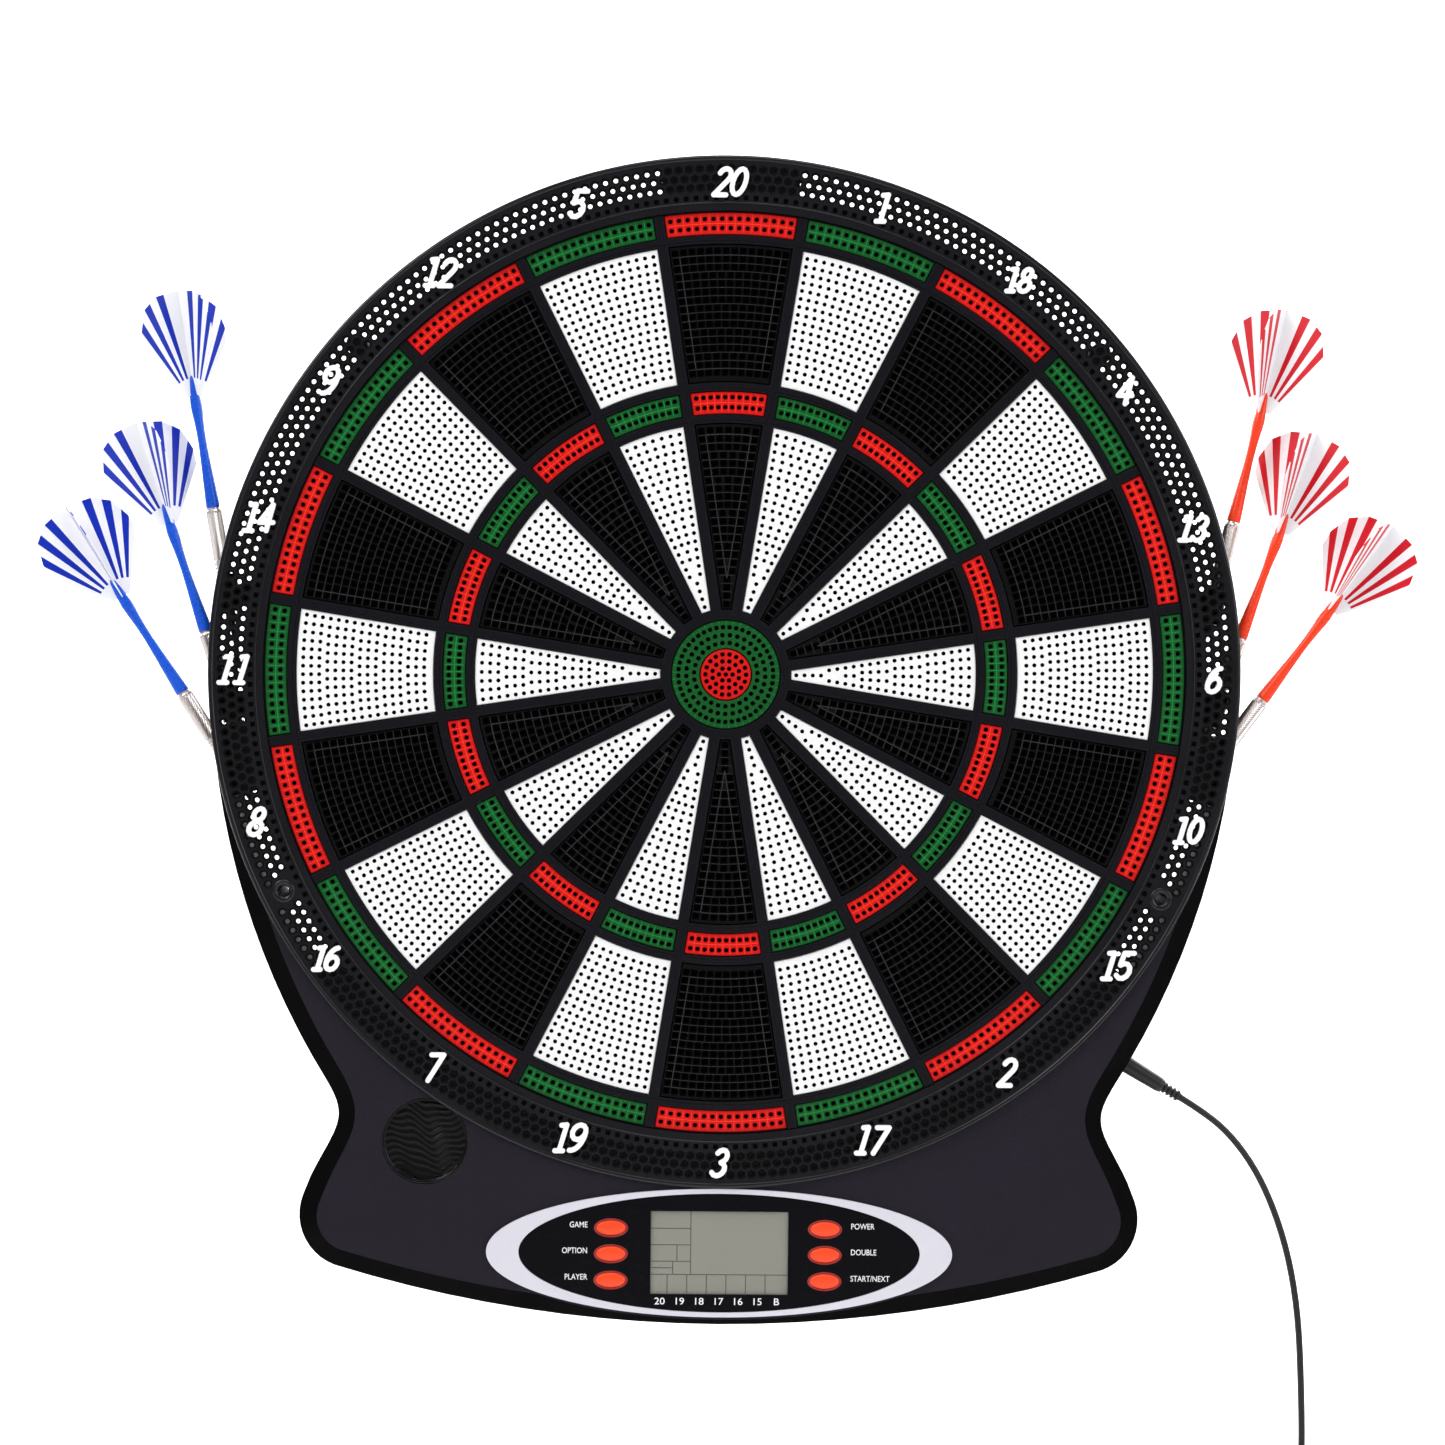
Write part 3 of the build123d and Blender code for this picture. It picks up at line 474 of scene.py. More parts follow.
OUTER_COUNTS = [14] * 3 + [13] * 4 + [12] * 3 + [11] * 3 + [10] * 3
INNER_COUNTS = [7] * 3 + [6] * 3 + [5] * 4 + [4] * 4 + [3] * 2 + [2] * 2 + [1] * 4
SEGMENT_KINDS = (
    ("double", DOUBLE, rows(194.2 * MM, 190.2 * MM, [15, 15])),
    ("outer_single", OUTER_SINGLE, rows(180.5 * MM, 128.9 * MM, OUTER_COUNTS)),
    ("treble", TREBLE, rows(118.4 * MM, 114.1 * MM, [10, 10])),
    ("inner_single", INNER_SINGLE, rows(104.3 * MM, 30.2 * MM, INNER_COUNTS)),
)

# A hole: half its mouth, how square the mouth is, half its throat, the funnel's depth and the whole depth.
HOLES = {
    "segment_white": (0.96 * MM, 1.0, 0.92 * MM, 0.1 * MM, 4 * MM),
    "segment_black": (1.56 * MM, 1.34, 1.0 * MM, 1.5 * MM, 4 * MM),
    "segment_red": (1.16 * MM, 1.3, 1.0 * MM, 0.5 * MM, 4 * MM),
    "segment_green": (1.16 * MM, 1.3, 1.0 * MM, 0.5 * MM, 4 * MM),
}


def add_line(plate, start, end, width, rise):
    """A thin raised line on a cap, between two places of X and Z."""
    dx, dz = end[0] - start[0], end[1] - start[1]
    length = math.hypot(dx, dz)
    side = (-dz / length * width / 2, dx / length * width / 2)
    corners = [(start[0] + side[0], start[1] + side[1]), (end[0] + side[0], end[1] + side[1]),
               (end[0] - side[0], end[1] - side[1]), (start[0] - side[0], start[1] - side[1])]
    low = plate.add_loop(corners, plate.front + 0.2 * MM)
    high = plate.add_loop(corners, plate.front - rise)
    # Slot 2 is the ridge finish, a lighter painted highlight on all but white caps.
    plate.join(low, high, 2)
    plate.cap(low, 2)
    plate.cap(high, 2)


def add_band_lines(plate, kind, inner, outer):
    """A double or treble has a line between its rows of holes and one between every two holes."""
    centres = dict((name, places) for name, _, places in SEGMENT_KINDS)[kind]
    count = len(centres) // 2
    middle = (inner + outer) / 2 - 0.05 * MM
    reach = side_turn(middle) - 0.6 * MM / middle
    places = [polar(middle, reach * (2 * step / 12 - 1)) for step in range(13)]
    for start, end in zip(places, places[1:]):
        add_line(plate, start, end, 0.4 * MM, 0.12 * MM)
    for one, other in zip(centres[:count], centres[1:count]):
        turn = (one[2] + other[2]) / 2
        add_line(plate, polar(inner + 0.7 * MM, turn), polar(outer - 0.7 * MM, turn), 0.3 * MM, 0.1 * MM)


def add_inset_line(plate, inner, outer):
    """A black cap has a line round it between its outermost holes and the next."""
    inset = 3.95 * MM
    high = outer - 4.55 * MM
    apex = (RIB_HALF + inset) / math.sin(SECTOR_TURN / 2)
    low = max(inner + 5.6 * MM, apex + 0.1 * MM)
    reach_high, reach_low = side_turn(high, inset), side_turn(low, inset)
    steps = 10
    across = [polar(high, reach_high * (2 * step / steps - 1)) for step in range(steps + 1)]
    foot = [polar(low, reach_low * (2 * step / steps - 1)) for step in range(steps + 1)]
    pairs = list(zip(across, across[1:]))
    if low > apex + 1 * MM:
        pairs += list(zip(foot, foot[1:]))
    for side in (0, -1):
        for step in range(6):
            start = tuple(a + (b - a) * step / 6 for a, b in zip(across[side], foot[side]))
            end = tuple(a + (b - a) * (step + 1) / 6 for a, b in zip(across[side], foot[side]))
            pairs.append((start, end))
    for start, end in pairs:
        add_line(plate, start, end, 0.34 * MM, 0.12 * MM)


def add_row_lines(plate, centres):
    """A black cap's faint lines between its rows of holes."""
    radii = sorted({round(math.hypot(x, z), 6) for x, z, _, _ in centres}, reverse=True)
    for outer_row, inner_row in zip(radii, radii[1:]):
        radius = (outer_row + inner_row) / 2
        reach = side_turn(radius) - 1.0 * MM / radius
        steps = max(2, round(radius * reach / (4 * MM)))
        places = [polar(radius, reach * (2 * step / steps - 1)) for step in range(steps + 1)]
        for start, end in zip(places, places[1:]):
            add_line(plate, start, end, 0.2 * MM, 0.06 * MM)


def turned_piece(name, plate, turn, materials, body):
    """A plate's mesh, turned clockwise about the bull's axis."""
    cos, sin = math.cos(turn), math.sin(turn)
    verts = [(x * cos + z * sin, y, z * cos - x * sin) for x, y, z in plate.verts]
    return piece_from(name, verts, plate.faces, materials, plate.slots, body)


CAP_INSET = 0.3 * MM
# Each cap colour's ridge finish: a lighter painted highlight, except on white caps, whose ridges keep the
# cap's own white.
CAP_LINES = {"segment_black": "ridge_highlight_black", "segment_white": "segment_white",
             "segment_red": "ridge_highlight_red", "segment_green": "ridge_highlight_green"}


def cap_colours(kind):
    """The finishes of a kind's caps, on the top sector and on its neighbours."""
    return ("segment_black", "segment_white") if "single" in kind else ("segment_red", "segment_green")


def cap_plate(kind, inner, outer, centres, colour):
    """One cap at the top of the board, with the raised lines of its kind and colour."""
    plate = Plate(SEGMENT_FRONT, SEGMENT_BACK, HOLES[colour])
    plate.build(segment_outline(inner, outer), segment_outline(inner, outer, CAP_INSET), centres)
    if "single" not in kind:
        add_band_lines(plate, kind, inner, outer)
    elif colour == "segment_black":
        add_inset_line(plate, inner, outer)
        add_row_lines(plate, centres)
    return plate


def build_segments():
    """Each kind's two plates are made once and turned to every sector."""
    plates = {}
    for kind, (inner, outer), centres in SEGMENT_KINDS:
        plates[kind] = [cap_plate(kind, inner, outer, centres, colour) for colour in cap_colours(kind)]
    for step, number in enumerate(SECTORS):
        body = f"sector_{number:02d}"
        for kind, pair in plates.items():
            colour = cap_colours(kind)[step % 2]
            # Slot 1 is the holes' painted shade; slot 2 is the ridges, which carry a painted highlight on
            # all but the white caps.
            finishes = (colour, "hole_shade_black", CAP_LINES[colour])
            name = f"{kind}_{number:02d}"
            piece = turned_piece(name, pair[step % 2], SECTOR_TURN * step, finishes, body)
            if kind == "double":
                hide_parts(body)


def circle(radius, count, turn=0.0):
    return [polar(radius, -2 * math.pi * step / count + turn) for step in range(count)]


def ring_centres(radius, count):
    turns = [2 * math.pi * (step + 0.5) / count for step in range(count)]
    return [(*polar(radius, turn), turn, 1.62 * MM) for turn in turns]


BULL_HOLE = (1.08 * MM, 1.2, 0.98 * MM, 0.4 * MM, 4 * MM)
BULL_INSET = 0.4 * MM


def add_bull_ticks(plate, count=45):
    """Short raised lines across the outer bull's rim, one beside each hole of the outermost row."""
    for step in range(count):
        turn = 2 * math.pi * step / count
        add_line(plate, polar(21.75 * MM, turn), polar(22.85 * MM, turn), 0.3 * MM, 0.1 * MM)


def build_inner_bull():
    plate = Plate(SEGMENT_FRONT, SEGMENT_BACK, BULL_HOLE)
    centres = [(0.0, 0.0, 0.0, 1.62 * MM)]
    for ring in range(1, 4):
        centres += ring_centres(2.9 * MM * ring, 6 * ring)
    plate.build(circle(BULL_CENTRE, 48), circle(BULL_CENTRE - BULL_INSET, 48), centres)
    piece = turned_piece("bull_inner_cap", plate, 0, ("segment_red", "hole_shade_black"), "bull_inner")
    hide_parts("bull_inner")


def build_outer_bull():
    """A ring of three rows of holes, with short lines across its rim."""
    plate = Plate(SEGMENT_FRONT, SEGMENT_BACK, BULL_HOLE)
    inner, outer = BULL_RING
    centres = []
    for radius, count in ((13.6, 27), (16.9, 33), (20.3, 45)):
        centres += ring_centres(radius * MM, count)
    plate.build(circle(outer, 72), circle(outer - BULL_INSET, 72), centres,
                circle(inner, 72), circle(inner + 0.3 * MM, 72))
    add_bull_ticks(plate)
    # The rim's ticks take a lighter green, a painted highlight.
    finishes = ("segment_green", "hole_shade_black", "ridge_highlight_green")
    piece = turned_piece("bull_outer_cap", plate, 0, finishes, "bull_outer")
    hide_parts("bull_outer")


# ---- Catch ring ----

def ring_places(radius, offset):
    """Evenly spaced places round the ring, with the turn of each."""
    turns = [2 * math.pi / RING_HOLES * (step + offset) for step in range(RING_HOLES)]
    return [(*polar(radius, turn), turn) for turn in turns]


def clear_of_screws(place):
    return all(math.dist(place[:2], screw) > SCREW_CLEAR for screw in SCREWS)


def add_through_hole(plate, mouth, throat, foot):
    """A six-sided mouth that narrows to a round throat, down to its loop on the back. The hole's walls take
    slot 1, the painted shade.
    """
    neck = plate.add_loop(throat, plate.front + 1.0 * MM)
    for step in range(6):
        after = (step + 1) % 6
        plate.faces.append((mouth[step], mouth[after], neck[2 * after], neck[2 * step + 1], neck[2 * step]))
        plate.slots.append(1)
    plate.join(neck, foot, 1)


def build_catch_ring():
    """The number ring: three staggered rows of through holes, a row of pockets and two screw recesses."""
    plate = Plate(RING_LEVEL, RING_BACK, None)
    outline, bore = circle(RING_OUTER - 0.4 * MM, 240), circle(RING_INNER, 240)
    through = []
    for row, radius in enumerate(RING_ROWS):
        through += filter(clear_of_screws, ring_places(radius, 0.5 * (row % 2)))
    pockets = ring_places(POCKET_RADIUS, 0.5)
    hexes = [hole_loop((x, z), turn + math.pi / 6, 2.2 * MM, 1.0, 6) for x, z, turn in through]
    throats = [hole_loop((x, z), turn + math.pi / 6, 1.02 * MM, 1.0, 12) for x, z, turn in through]
    squares = [hole_loop((x, z), turn, 1.15 * MM, 1.25) for x, z, turn in pockets]
    recesses = [shifted_circle(*screw, 4.6 * MM, 32) for screw in SCREWS]
    top, bore_top, *mouths = plate.add_sheet(outline, [bore] + hexes + squares + recesses, plate.front)
    foot, bore_foot, *feet = plate.add_sheet(outline, [bore] + throats + recesses, plate.back)
    plate.join(top, foot)
    plate.join(bore_top, bore_foot)
    for mouth, throat, throat_foot in zip(mouths, throats, feet):
        add_through_hole(plate, mouth, throat, throat_foot)
    for (x, z, turn), mouth in zip(pockets, mouths[len(through):]):
        # A pocket's sides keep the ring's black; its floor takes slot 1, the painted shade.
        floor = plate.add_loop(hole_loop((x, z), turn, 0.85 * MM, 1.1), plate.front + 1.4 * MM)
        plate.join(mouth, floor)
        plate.cap(floor, 1)
    for mouth, recess_foot in zip(mouths[-len(recesses):], feet[-len(recesses):]):
        plate.join(mouth, recess_foot)
    piece = piece_from("ring_plate", plate.verts, plate.faces, ("ring_black", "hole_shade_black"), plate.slots)
    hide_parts("catch_ring")


def shifted_circle(x, z, radius, count):
    return [(x + px, z + pz) for px, pz in circle(radius, count)]


def lathe_y(name, profile, material, count=360, centre=(0.0, 0.0), span=None):
    """A closed turned piece on the bull's axis or one beside it, from points of radius and Y."""
    first, last = span or (0.0, 2 * math.pi)
    loops = count + 1 if span else count
    points = len(profile)
    verts, faces = [], []
    for step in range(loops):
        turn = first + (last - first) * step / count
        for radius, depth in profile:
            x, z = polar(radius, turn)
            verts.append((centre[0] + x, depth, centre[1] + z))
    for step in range(count):
        faces += band(step * points, (step + 1) % loops * points, points)
    if span:
        faces.append(tuple(range(points)))
        faces.append(tuple(range(count * points, loops * points)))
    return piece_from(name, verts, faces, (material,), smooth=True)


def round_bead(low, high, back, front, steps=6):
    """A closed profile with a rounded front, between two radii."""
    middle, half = (low + high) / 2, (high - low) / 2
    height = back - front
    profile = [(low, back)]
    for step in range(steps + 1):
        turn = math.pi * step / steps
        profile.append((middle - half * math.cos(turn), front + height * 0.6 * (1 - math.sin(turn))))
    return profile + [(high, back)]


def build_ring_rims():
    """The ring's rounded edge, the fine line inside it, its rear lip and the collars of the screw holes."""
    back, front = RING_BACK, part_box("catch_ring")[0][1]
    lathe_y("ring_outer_rim", round_bead(RING_RIM, RING_OUTER, back, front), "ring_rim")
    line = round_bead(200.3 * MM, 201.4 * MM, back - 0.5 * MM, front)
    lathe_y("ring_inner_line", line, "ring_rim")
    lip = round_bead(RING_RIM, RING_OUTER, -24.0 * MM, back + 0.1 * MM)
    lathe_y("ring_lip", lip, "ring_rim", count=192, span=(math.radians(-96), math.radians(96)))
    collar = [(2.35 * MM, back), (2.35 * MM, front + 1.2 * MM), (3.0 * MM, front + 0.6 * MM),
              (3.9 * MM, front + 0.3 * MM), (4.8 * MM, front + 0.3 * MM), (4.9 * MM, back)]
    for screw, side in zip(SCREWS, ("left", "right")):
        lathe_y(f"screw_collar_{side}", collar, "ring_rim", count=48, centre=screw)


# ---- Control panel ----

SQUARE = ((-1, -1), (1, -1), (1, 1), (-1, 1))


def strip(centre, size, depth):
    """The corners and faces of a thin printed mark that stands a hair proud of the face behind it."""
    corners = [(centre[0] + x * size[0] / 2, centre[1] + z * size[1] / 2) for x, z in SQUARE]
    verts = [(x, y, z) for y in (depth, depth + 0.06 * MM) for x, z in corners]
    return verts, [(0, 1, 2, 3), (7, 6, 5, 4)] + band(0, 4, 4)


def build_lcd_lines():
    """The scoreboard's printed lines, placed by shares of the window's size from its top left."""
    low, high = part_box("lcd_window")
    width, height = high[0] - low[0], high[2] - low[2]
    line = 0.48 * MM
    across = [(0.0, 1.0, 0.77), (0.0, 0.29, 0.21), (0.0, 0.29, 0.41), (0.0, 0.29, 0.61), (0.0, 0.16, 0.69)]
    upright = [(0.29, 0.0, 0.77), (0.19, 0.41, 0.61), (0.16, 0.61, 0.77)]
    upright += [(0.12 + 0.1436 * step, 0.77, 1.0) for step in range(6)]
    marks = [((start + end) / 2, down, (end - start) * width, line) for start, end, down in across]
    marks += [(place, (start + end) / 2, line, (end - start) * height) for place, start, end in upright]
    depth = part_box("lcd_module")[0][1] - 0.06 * MM
    verts, faces = [], []
    for right, down, wide, tall in marks:
        corners, sides = strip((low[0] + right * width, high[2] - down * height), (wide, tall), depth)
        faces += [tuple(corner + len(verts) for corner in side) for side in sides]
        verts += corners
    piece_from("lcd_lines", verts, faces, ("lcd_line",))


def add_legend(words, x, z, tall, align, wide=0.82):
    """Bold narrow lettering printed on the overlay."""
    curve = bpy.data.curves.new("legend_" + words, "FONT")
    curve.body = words
    curve.align_x = align
    curve.align_y = "CENTER"
    curve.size = tall / 0.70
    curve.offset = 0.003 * curve.size
    curve.extrude = 0.03 * MM
    curve.resolution_u = 3
    temporary = bpy.data.objects.new("legend", curve)
    bpy.context.scene.collection.objects.link(temporary)
    bpy.context.view_layer.update()
    graph = bpy.context.evaluated_depsgraph_get()
    mesh = bpy.data.meshes.new_from_object(temporary.evaluated_get(graph))
    bpy.data.objects.remove(temporary)
    turn = Matrix(((wide, 0, 0, x), (0, 0, -1, OVERLAY_FRONT - 0.02 * MM), (0, 1, 0, z), (0, 0, 0, 1)))
    mesh.transform(turn)
    name = "legend_" + "".join(letter for letter in words.lower() if letter.isalnum())
    mesh.name = name
    mesh.materials.clear()
    mesh.materials.append(MATERIALS["legend_white"])
    piece = bpy.data.objects.new(name, mesh)
    bpy.context.scene.collection.objects.link(piece)
    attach(piece, "board")


def build_legends():
    """A word beside each button, and the numbers under the scoreboard."""
    for group, align in ((LEFT_BUTTONS, "RIGHT"), (RIGHT_BUTTONS, "LEFT")):
        for node, word in group.items():
            low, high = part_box(node)
            x = low[0] - 2.3 * MM if align == "RIGHT" else high[0] + 3.4 * MM
            add_legend(word, x, (low[2] + high[2]) / 2 + 1.2 * MM, 2.5 * MM, align)
    low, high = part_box("lcd_window")
    for step, word in enumerate(("20", "19", "18", "17", "16", "15", "B")):
        x = low[0] + (high[0] - low[0]) * (0.066 + 0.1425 * step)
        add_legend(word, x, low[2] - 3.3 * MM, 3.0 * MM, "CENTER", 1.1)


def oval_size(node, inset):
    """An oval node's centre, and half its width and height less an inset."""
    low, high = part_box(node)
    centre = ((low[0] + high[0]) / 2, (low[2] + high[2]) / 2)
    return centre, ((high[0] - low[0]) / 2 - inset, (high[2] - low[2]) / 2 - inset)


def oval(centre, half, depth, wider=0.0, share=1.0):
    """A loop round an oval that is grown by a width and then scaled by a share."""
    loop = []
    for step in range(OVAL_POINTS):
        x, z = polar(share, 2 * math.pi * step / OVAL_POINTS)
        loop.append((centre[0] + x * (half[0] + wider), depth, centre[1] + z * (half[1] + wider)))
    return loop


def build_button(node):
    """A domed oval cap on a flange that keeps it behind the overlay."""
    front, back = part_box(node)[0][1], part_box(node)[1][1]
    flange, step_back, foot = 1.3 * MM, back - 1.0 * MM, OVERLAY_FRONT + 0.1 * MM
    centre, half = oval_size(node, flange)
    verts = oval(centre, half, back, flange) + oval(centre, half, step_back, flange)
    verts += oval(centre, half, step_back) + oval(centre, half, foot)
    for level in range(1, 6):
        turn = math.pi / 2 * level / 6
        verts += oval(centre, half, foot + (front - foot) * math.sin(turn), share=math.cos(turn))
    faces = [tuple(range(OVAL_POINTS))]
    for start in range(0, len(verts) - OVAL_POINTS, OVAL_POINTS):
        faces += band(start, start + OVAL_POINTS, OVAL_POINTS)
    faces += fan(len(verts) - OVAL_POINTS, len(verts), OVAL_POINTS)
    verts.append((centre[0], front, centre[1]))
    piece = piece_from("cap_" + node, verts, faces, ("button_orange",), body=node, smooth=True)
    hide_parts(node)


def build_button_rings():
    """The dark red edge of each button's opening."""
    profile = ((-0.3, 0.6), (-0.3, 0.2), (0.38, -0.1), (0.55, -0.1), (0.55, 0.6))
    verts, faces = [], []
    for node in BUTTONS:
        centre, half = oval_size(node, 0.9 * MM)
        start = len(verts)
        for wider, proud in profile:
            verts += oval(centre, half, OVERLAY_FRONT + proud * MM, wider * MM)
        for row in range(len(profile)):
            below = (row + 1) % len(profile)
            faces += band(start + row * OVAL_POINTS, start + below * OVAL_POINTS, OVAL_POINTS)
    piece_from("button_rings", verts, faces, ("button_edge",))


def build_grille():
    """A round cover with wavy ridges inside a plain edge, and a fine bead round it."""
    low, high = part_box("speaker_grille")
    centre = ((low[0] + high[0]) / 2, (low[2] + high[2]) / 2)
    radius = (high[0] - low[0]) / 2
    front, back = low[1], high[1]
    rings, count = 56, 150
    turns = [2 * math.pi * step / count for step in range(count)]
    verts = [(centre[0], grille_level(0, 0, radius, front), centre[1])]
    faces = fan(1, 0, count)
    for ring in range(1, rings + 1):
        for x, z in (polar(radius * ring / rings, turn) for turn in turns):
            verts.append((centre[0] + x, grille_level(x, z, radius, front), centre[1] + z))
    for x, z in (polar(radius, turn) for turn in turns):
        verts.append((centre[0] + x, back, centre[1] + z))
    for ring in range(rings):
        faces += band(1 + ring * count, 1 + (ring + 1) * count, count)
    faces.append(tuple(range(len(verts) - count, len(verts))))
    piece = piece_from("grille_face", verts, faces, ("grille_black",), smooth=True)
    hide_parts("speaker_grille")
    bead = round_bead(radius - 0.2 * MM, radius + 0.45 * MM, back - 0.5 * MM, front - 0.25 * MM)
    lathe_y("grille_rim", bead, "grille_rim", count=120, centre=centre)


def grille_level(x, z, radius, front):
    """How deep the cover's face is at a place: wavy ridges, and a plain edge."""
    if math.hypot(x, z) > radius - 0.9 * MM:
        return front
    across, up = x / MM, z / MM
    swirl = up + 1.6 * math.sin(across * 0.26 + 0.6) + 0.8 * math.sin(across * 0.55 + up * 0.18)
    swirl -= 0.0022 * abs(across - 9) ** 2.35
    return front + 0.75 * MM + 0.6 * MM * abs(math.sin(swirl * 1.15)) ** 0.8


# ---- Darts ----

def dart_axes(index, group):
    """The barrel's front end, the way along the dart, and two directions across it."""
    top, low, turn = group[index]
    top, low = Vector((top[0], 0, top[1])) * MM, Vector((low[0], 0, low[1])) * MM
    along = (top - low).normalized()
    origin = low - along * DART_BARREL + Vector((0, DART_DEPTH, 0))
    first = Vector((0, 1, 0))
    second = along.cross(first)
    cos, sin = math.cos(math.radians(turn)), math.sin(math.radians(turn))
    return origin, along, first * cos + second * sin, second * cos - first * sin


def turned_part(name, axes, profile, material, body, count=40, knurl=None, smooth=True):
    """A closed turned part along a dart. Between a knurl's two reaches every other point is lower."""
    origin, along, first, second = axes
    verts, faces = [], []
    for row, (radius, reach) in enumerate(profile):
        for step in range(count):
            around = 2 * math.pi * step / count
            low = knurl and knurl[0] <= reach <= knurl[1] and (row + step) % 2
            size = radius * (0.93 if low else 1.0)
            outward = first * math.cos(around) + second * math.sin(around)
            verts.append(origin + along * reach + outward * size)
    for start in range(0, len(verts) - count, count):
        faces += band(start, start + count, count)
    faces.append(tuple(range(count)))
    faces.append(tuple(range(len(verts) - count, len(verts))))
    return piece_from(name, verts, faces, (material,), body=body, smooth=smooth)


def barrel_profile():
    """Fine knurling behind, then a row of grooves, then a nose that tapers to the tip."""
    profile = [(2.5, 0.0), (3.0, 1.5)]
    reach = 3.0
    while reach < 22.0:
        profile += [(3.4, reach), (3.4, reach + 0.7), (2.75, reach + 0.95), (2.75, reach + 1.45)]
        reach += 1.75
    while reach < 43.0:
        profile.append((3.4, reach))
        reach += 0.55
    profile += [(3.3, 43.6), (2.9, 44.2), (2.8, 45.0)]
    return [(radius * MM, place * MM) for radius, place in profile]


def shaft_profile():
    """Waisted, with a slotted bulb that grips the flight."""
    points = [(2.85, 45.0), (2.95, 46.0), (2.85, 49.0), (2.5, 56.0), (2.1, 64.0), (1.8, 72.0), (1.85, 78.0),
              (2.1, 83.0), (2.45, 87.0), (2.5, 90.0), (2.2, 93.0), (1.8, 97.0), (1.3, 100.5), (0.7, 102.0)]
    return [(radius * MM, place * MM) for radius, place in points]


def reach_along(turn):
    """How far a vane's edge is from the apex of its stripes, at a turn from its middle line."""
    best = 0.0
    dx, dz = math.sin(turn), math.cos(turn)
    outline = [(x * MM, z * MM) for x, z in VANE_OUTLINE]
    for (x1, z1), (x2, z2) in zip(outline, outline[1:]):
        ex, ez = x2 - x1, z2 - z1
        cross = dx * ez - dz * ex
        if abs(cross) < 1e-12:
            continue
        reach = (x1 * ez - (z1 - VANE_APEX) * ex) / cross
        share = (x1 * dz - (z1 - VANE_APEX) * dx) / cross
        if -1e-6 <= share <= 1 + 1e-6 and reach > best:
            best = reach
    return best


def vane_rows(verts, root, along, sideways, normal):
    """A vane's points: at each cut, both faces near the shaft, part way out and at the edge."""
    rows = []
    for turn in VANE_CUTS:
        angle = math.radians(turn)
        row = []
        for reach in (6.0 * MM, 13.0 * MM, reach_along(angle)):
            place = root + sideways * (reach * math.sin(angle))
            place = place + along * (VANE_APEX + reach * math.cos(angle))
            row += [len(verts), len(verts) + 1]
            verts += [place + normal * VANE_HALF, place - normal * VANE_HALF]
        rows.append(row)
    return rows


def add_vane(faces, slots, rows):
    """The faces of one vane, with its stripes on the outer part."""
    for low, high, one, other in zip(VANE_CUTS, VANE_CUTS[1:], rows, rows[1:]):
        colour = 1 if (low, high) in VANE_STRIPES else 0
        for face in (0, 1):
            faces.append((one[face], one[2 + face], other[2 + face], other[face]))
            faces.append((one[2 + face], one[4 + face], other[4 + face], other[2 + face]))
            slots += [0, colour]
        faces.append((one[0], one[1], other[1], other[0]))
        faces.append((one[4], one[5], other[5], other[4]))
        slots += [0, colour]
    for row in (rows[0], rows[-1]):
        for start in (0, 2):
            faces.append((row[start], row[start + 1], row[start + 3], row[start + 2]))
            slots.append(0)


def build_flight(name, axes, stripe, body):
    """Four thin vanes with stripes that fan out from the shaft."""
    origin, along, first, second = axes
    root = origin + along * FLIGHT_START
    verts, faces, slots = [], [], []
    for sideways, normal in ((first, second), (second, first)):
        for side in (1, -1):
            add_vane(faces, slots, vane_rows(verts, root, along, sideways * side, normal))
    return piece_from(name, verts, faces, ("flight_white", stripe), slots, body=body)


def tip_profile():
    """A thin soft point with a threaded collar behind it."""
    points = [(0.25, -25.0), (0.7, -24.4), (0.95, -22.0), (1.1, -12.0), (1.3, -5.0), (1.7, -3.4),
              (2.4, -3.0), (2.4, -1.2), (2.0, -0.8), (2.0, 0.0)]
    return [(radius * MM, place * MM) for radius, place in points]


def build_darts():
    for colour, group in (("blue", BLUE_DARTS), ("red", RED_DARTS)):
        for index in range(3):
            body = f"{colour}_dart_{index + 1}"
            axes = dart_axes(index, group)
            turned_part(f"{body}_tip", axes, tip_profile(), "tip_black", body, count=24)
            turned_part(f"{body}_barrel", axes, barrel_profile(), "barrel_nickel", body, count=44,
                        knurl=(22.0 * MM, 43.0 * MM), smooth=False)
            turned_part(f"{body}_shaft", axes, shaft_profile(), f"dart_{colour}", body)
            flight = build_flight(f"{body}_flight", axes, f"stripe_{colour}", body)
            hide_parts(body)


# ---- Adapter lead ----

def coil_lanes():
    """Each turn's place in the coil: out from its middle radius, and in depth. Rows are wound to and fro."""
    lanes = []
    for row in range(4):
        columns = (3.2, 0.0, -3.2) if row % 2 else (-3.2, 0.0, 3.2)
        lanes += [(column, -4.7 + 3.15 * row) for column in columns]
    return lanes[:COIL_TURNS]


def coil_points():
    """The tied turns, each of which goes over to the next one's place as it goes round."""
    lanes, count = coil_lanes(), 16
    points = []
    for turn, lane in enumerate(lanes):
        follow = lanes[min(turn + 1, len(lanes) - 1)]
        steps = count if turn < len(lanes) - 1 else count // 4 + 1
        for step in range(steps):
            share = step / count
            around = -2 * math.pi * share
            radius = COIL_RADIUS + lane[0] + (follow[0] - lane[0]) * share
            depth = CORD_DEPTH + lane[1] + (follow[1] - lane[1]) * share
            x = COIL_CENTRE[0] + radius * math.cos(around)
            points.append((x, depth, COIL_CENTRE[1] + radius * math.sin(around)))
    return points


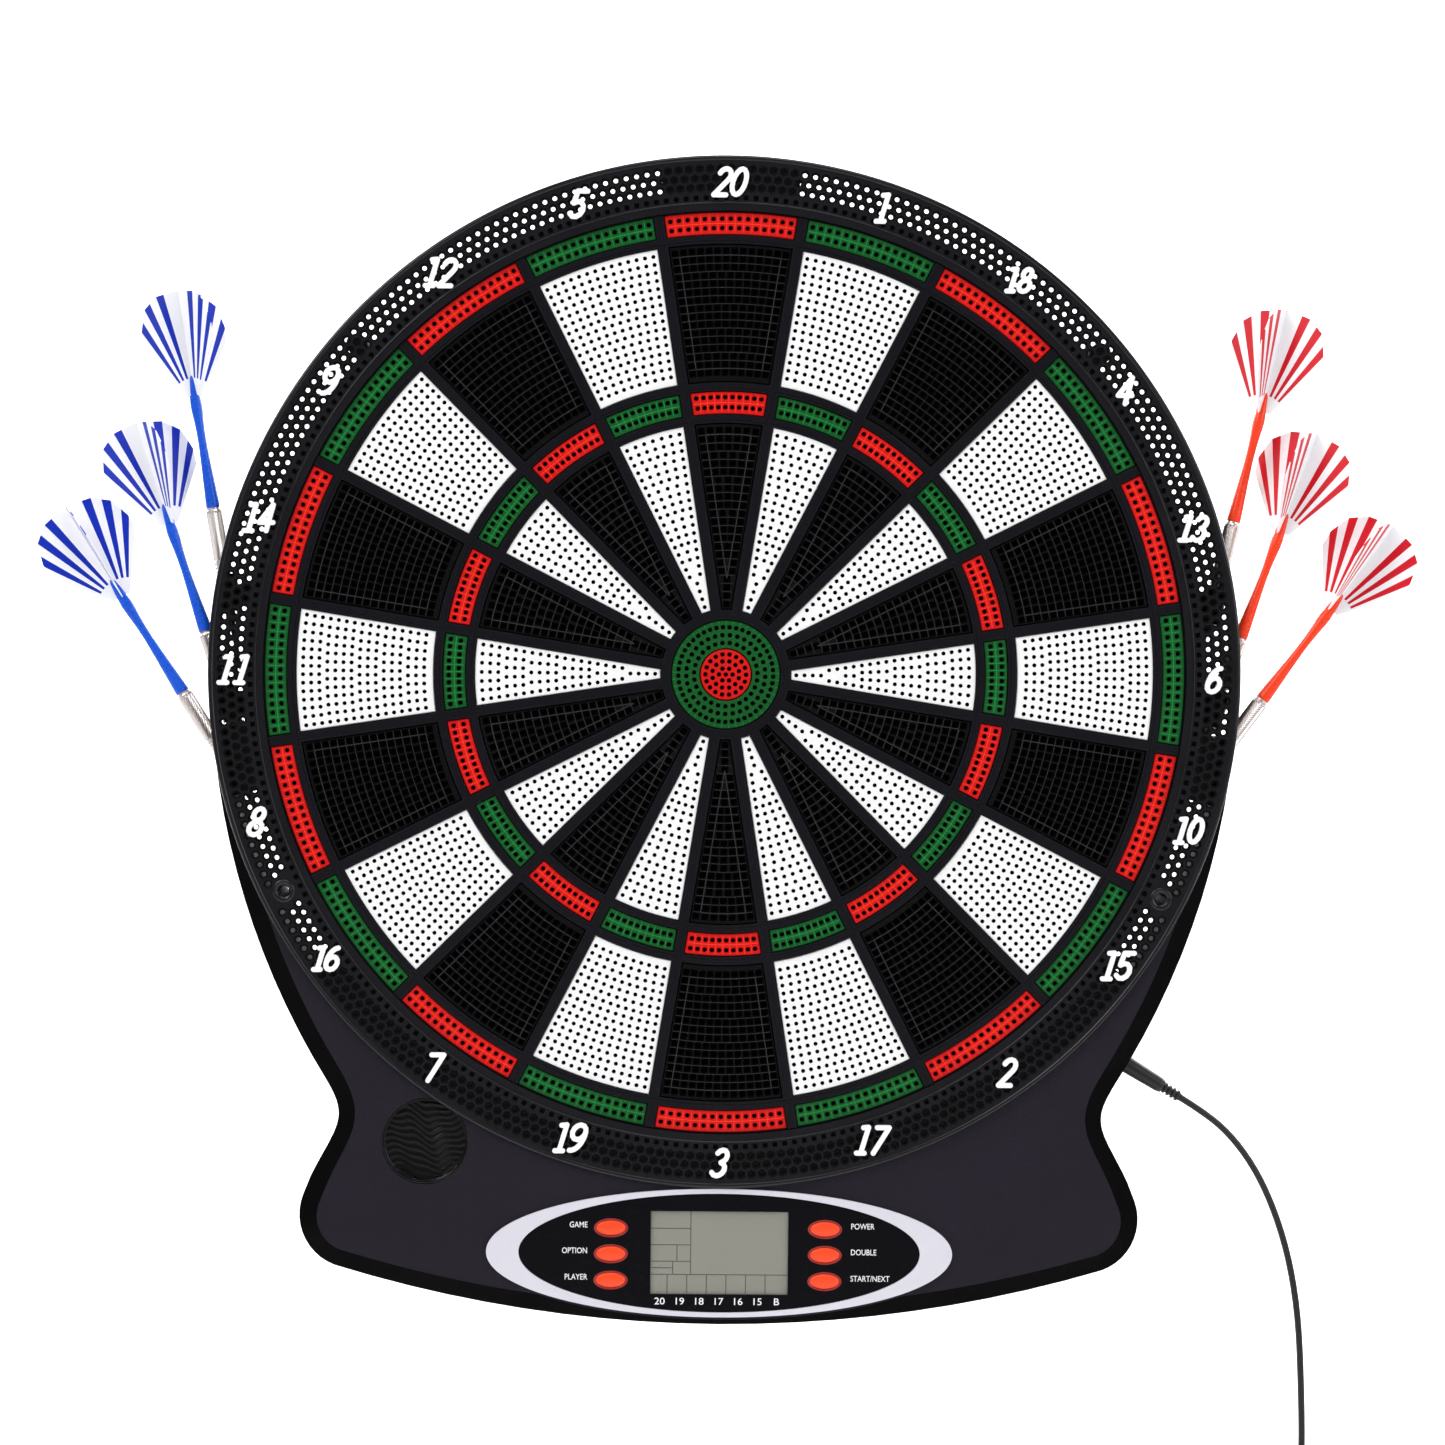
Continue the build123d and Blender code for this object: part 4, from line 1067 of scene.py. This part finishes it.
def lead_points():
    """The lead's centreline: from the plug down the wall, round the tied turns and on to the adapter."""
    depth = CORD_DEPTH
    route = [(200.17, depth, -182.17), (212.4, depth, -189.6), (223.5, -13.5, -199.4),
             (234.0, -13.2, -213.6), (242.6, -13.0, -231.5), (249.4, -13.4, -253.0),
             (253.6, depth, -278.0), (255.2, -14.4, -306.0), (256.3, depth, -336.0), (255.6, depth, -377.0)]
    route += coil_points()
    route += [(231.0, depth + 1, -408.4), (224.0, depth, -411.8), (216.5, depth, -421.0),
              (214.0, depth, -432.6)]
    return [Vector(point) * MM for point in route]


def build_lead():
    curve = bpy.data.curves.new("adapter_lead_cord", "CURVE")
    curve.dimensions = "3D"
    curve.bevel_depth = 1.5 * MM
    curve.bevel_resolution = 4
    curve.use_fill_caps = True
    spline = curve.splines.new("NURBS")
    points = lead_points()
    spline.points.add(len(points) - 1)
    for place, point in zip(points, spline.points):
        point.co = (*place, 1)
    spline.order_u = 3
    spline.use_endpoint_u = True
    spline.resolution_u = 4
    curve.materials.append(MATERIALS["lead_black"])
    lead = bpy.data.objects.new("adapter_lead_cord", curve)
    bpy.context.scene.collection.objects.link(lead)
    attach(lead, "board")
    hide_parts("adapter_lead", "lead_coil", "adapter_tail")
    ties = [build_tie("lead_tie_1", math.radians(30)), build_tie("lead_tie_2", math.radians(210))]


def build_tie(name, turn):
    """A flat strap with rounded corners round the lead's turns."""
    outward = Vector((math.cos(turn), 0, math.sin(turn)))
    across = Vector((0, 1, 0))
    along = outward.cross(across)
    middle = (Vector((COIL_CENTRE[0], CORD_DEPTH, COIL_CENTRE[1])) + outward * COIL_RADIUS) * MM
    verts, faces = [], []
    count = 40
    for thicker, side in ((0.0, -1), (0.0, 1), (0.9, 1), (0.9, -1)):
        for step in range(count):
            around = 2 * math.pi * step / count
            cos, sin = math.cos(around), math.sin(around)
            reach_out = (5.1 + thicker) * math.copysign(abs(cos) ** 0.6, cos)
            reach_up = (6.6 + thicker) * math.copysign(abs(sin) ** 0.6, sin)
            verts.append(middle + (outward * reach_out + across * reach_up + along * (2.2 * side)) * MM)
    for row in range(4):
        faces += band(row * count, (row + 1) % 4 * count, count)
    return piece_from(name, verts, faces, ("tip_black",), smooth=True)


# ---- CAD nodes that keep their shape ----

def dress_frame():
    """Each carried-over CAD node takes the material of its slot."""
    for entry in frame["record"]["subparts"]:
        node = frame["nodes"].get(entry["node"])
        if node is None:
            continue
        node.data.materials.clear()
        node.data.materials.append(MATERIALS[entry["material_slot"]])


bpy.context.scene.view_settings.view_transform = "Standard"
dress_frame()
add_camera()
add_lights()
add_stage()
build_lead()
build_segments()
build_inner_bull()
build_outer_bull()
build_catch_ring()
build_ring_rims()
build_lcd_lines()
build_legends()
for button in BUTTONS:
    build_button(button)
build_button_rings()
build_grille()
build_darts()
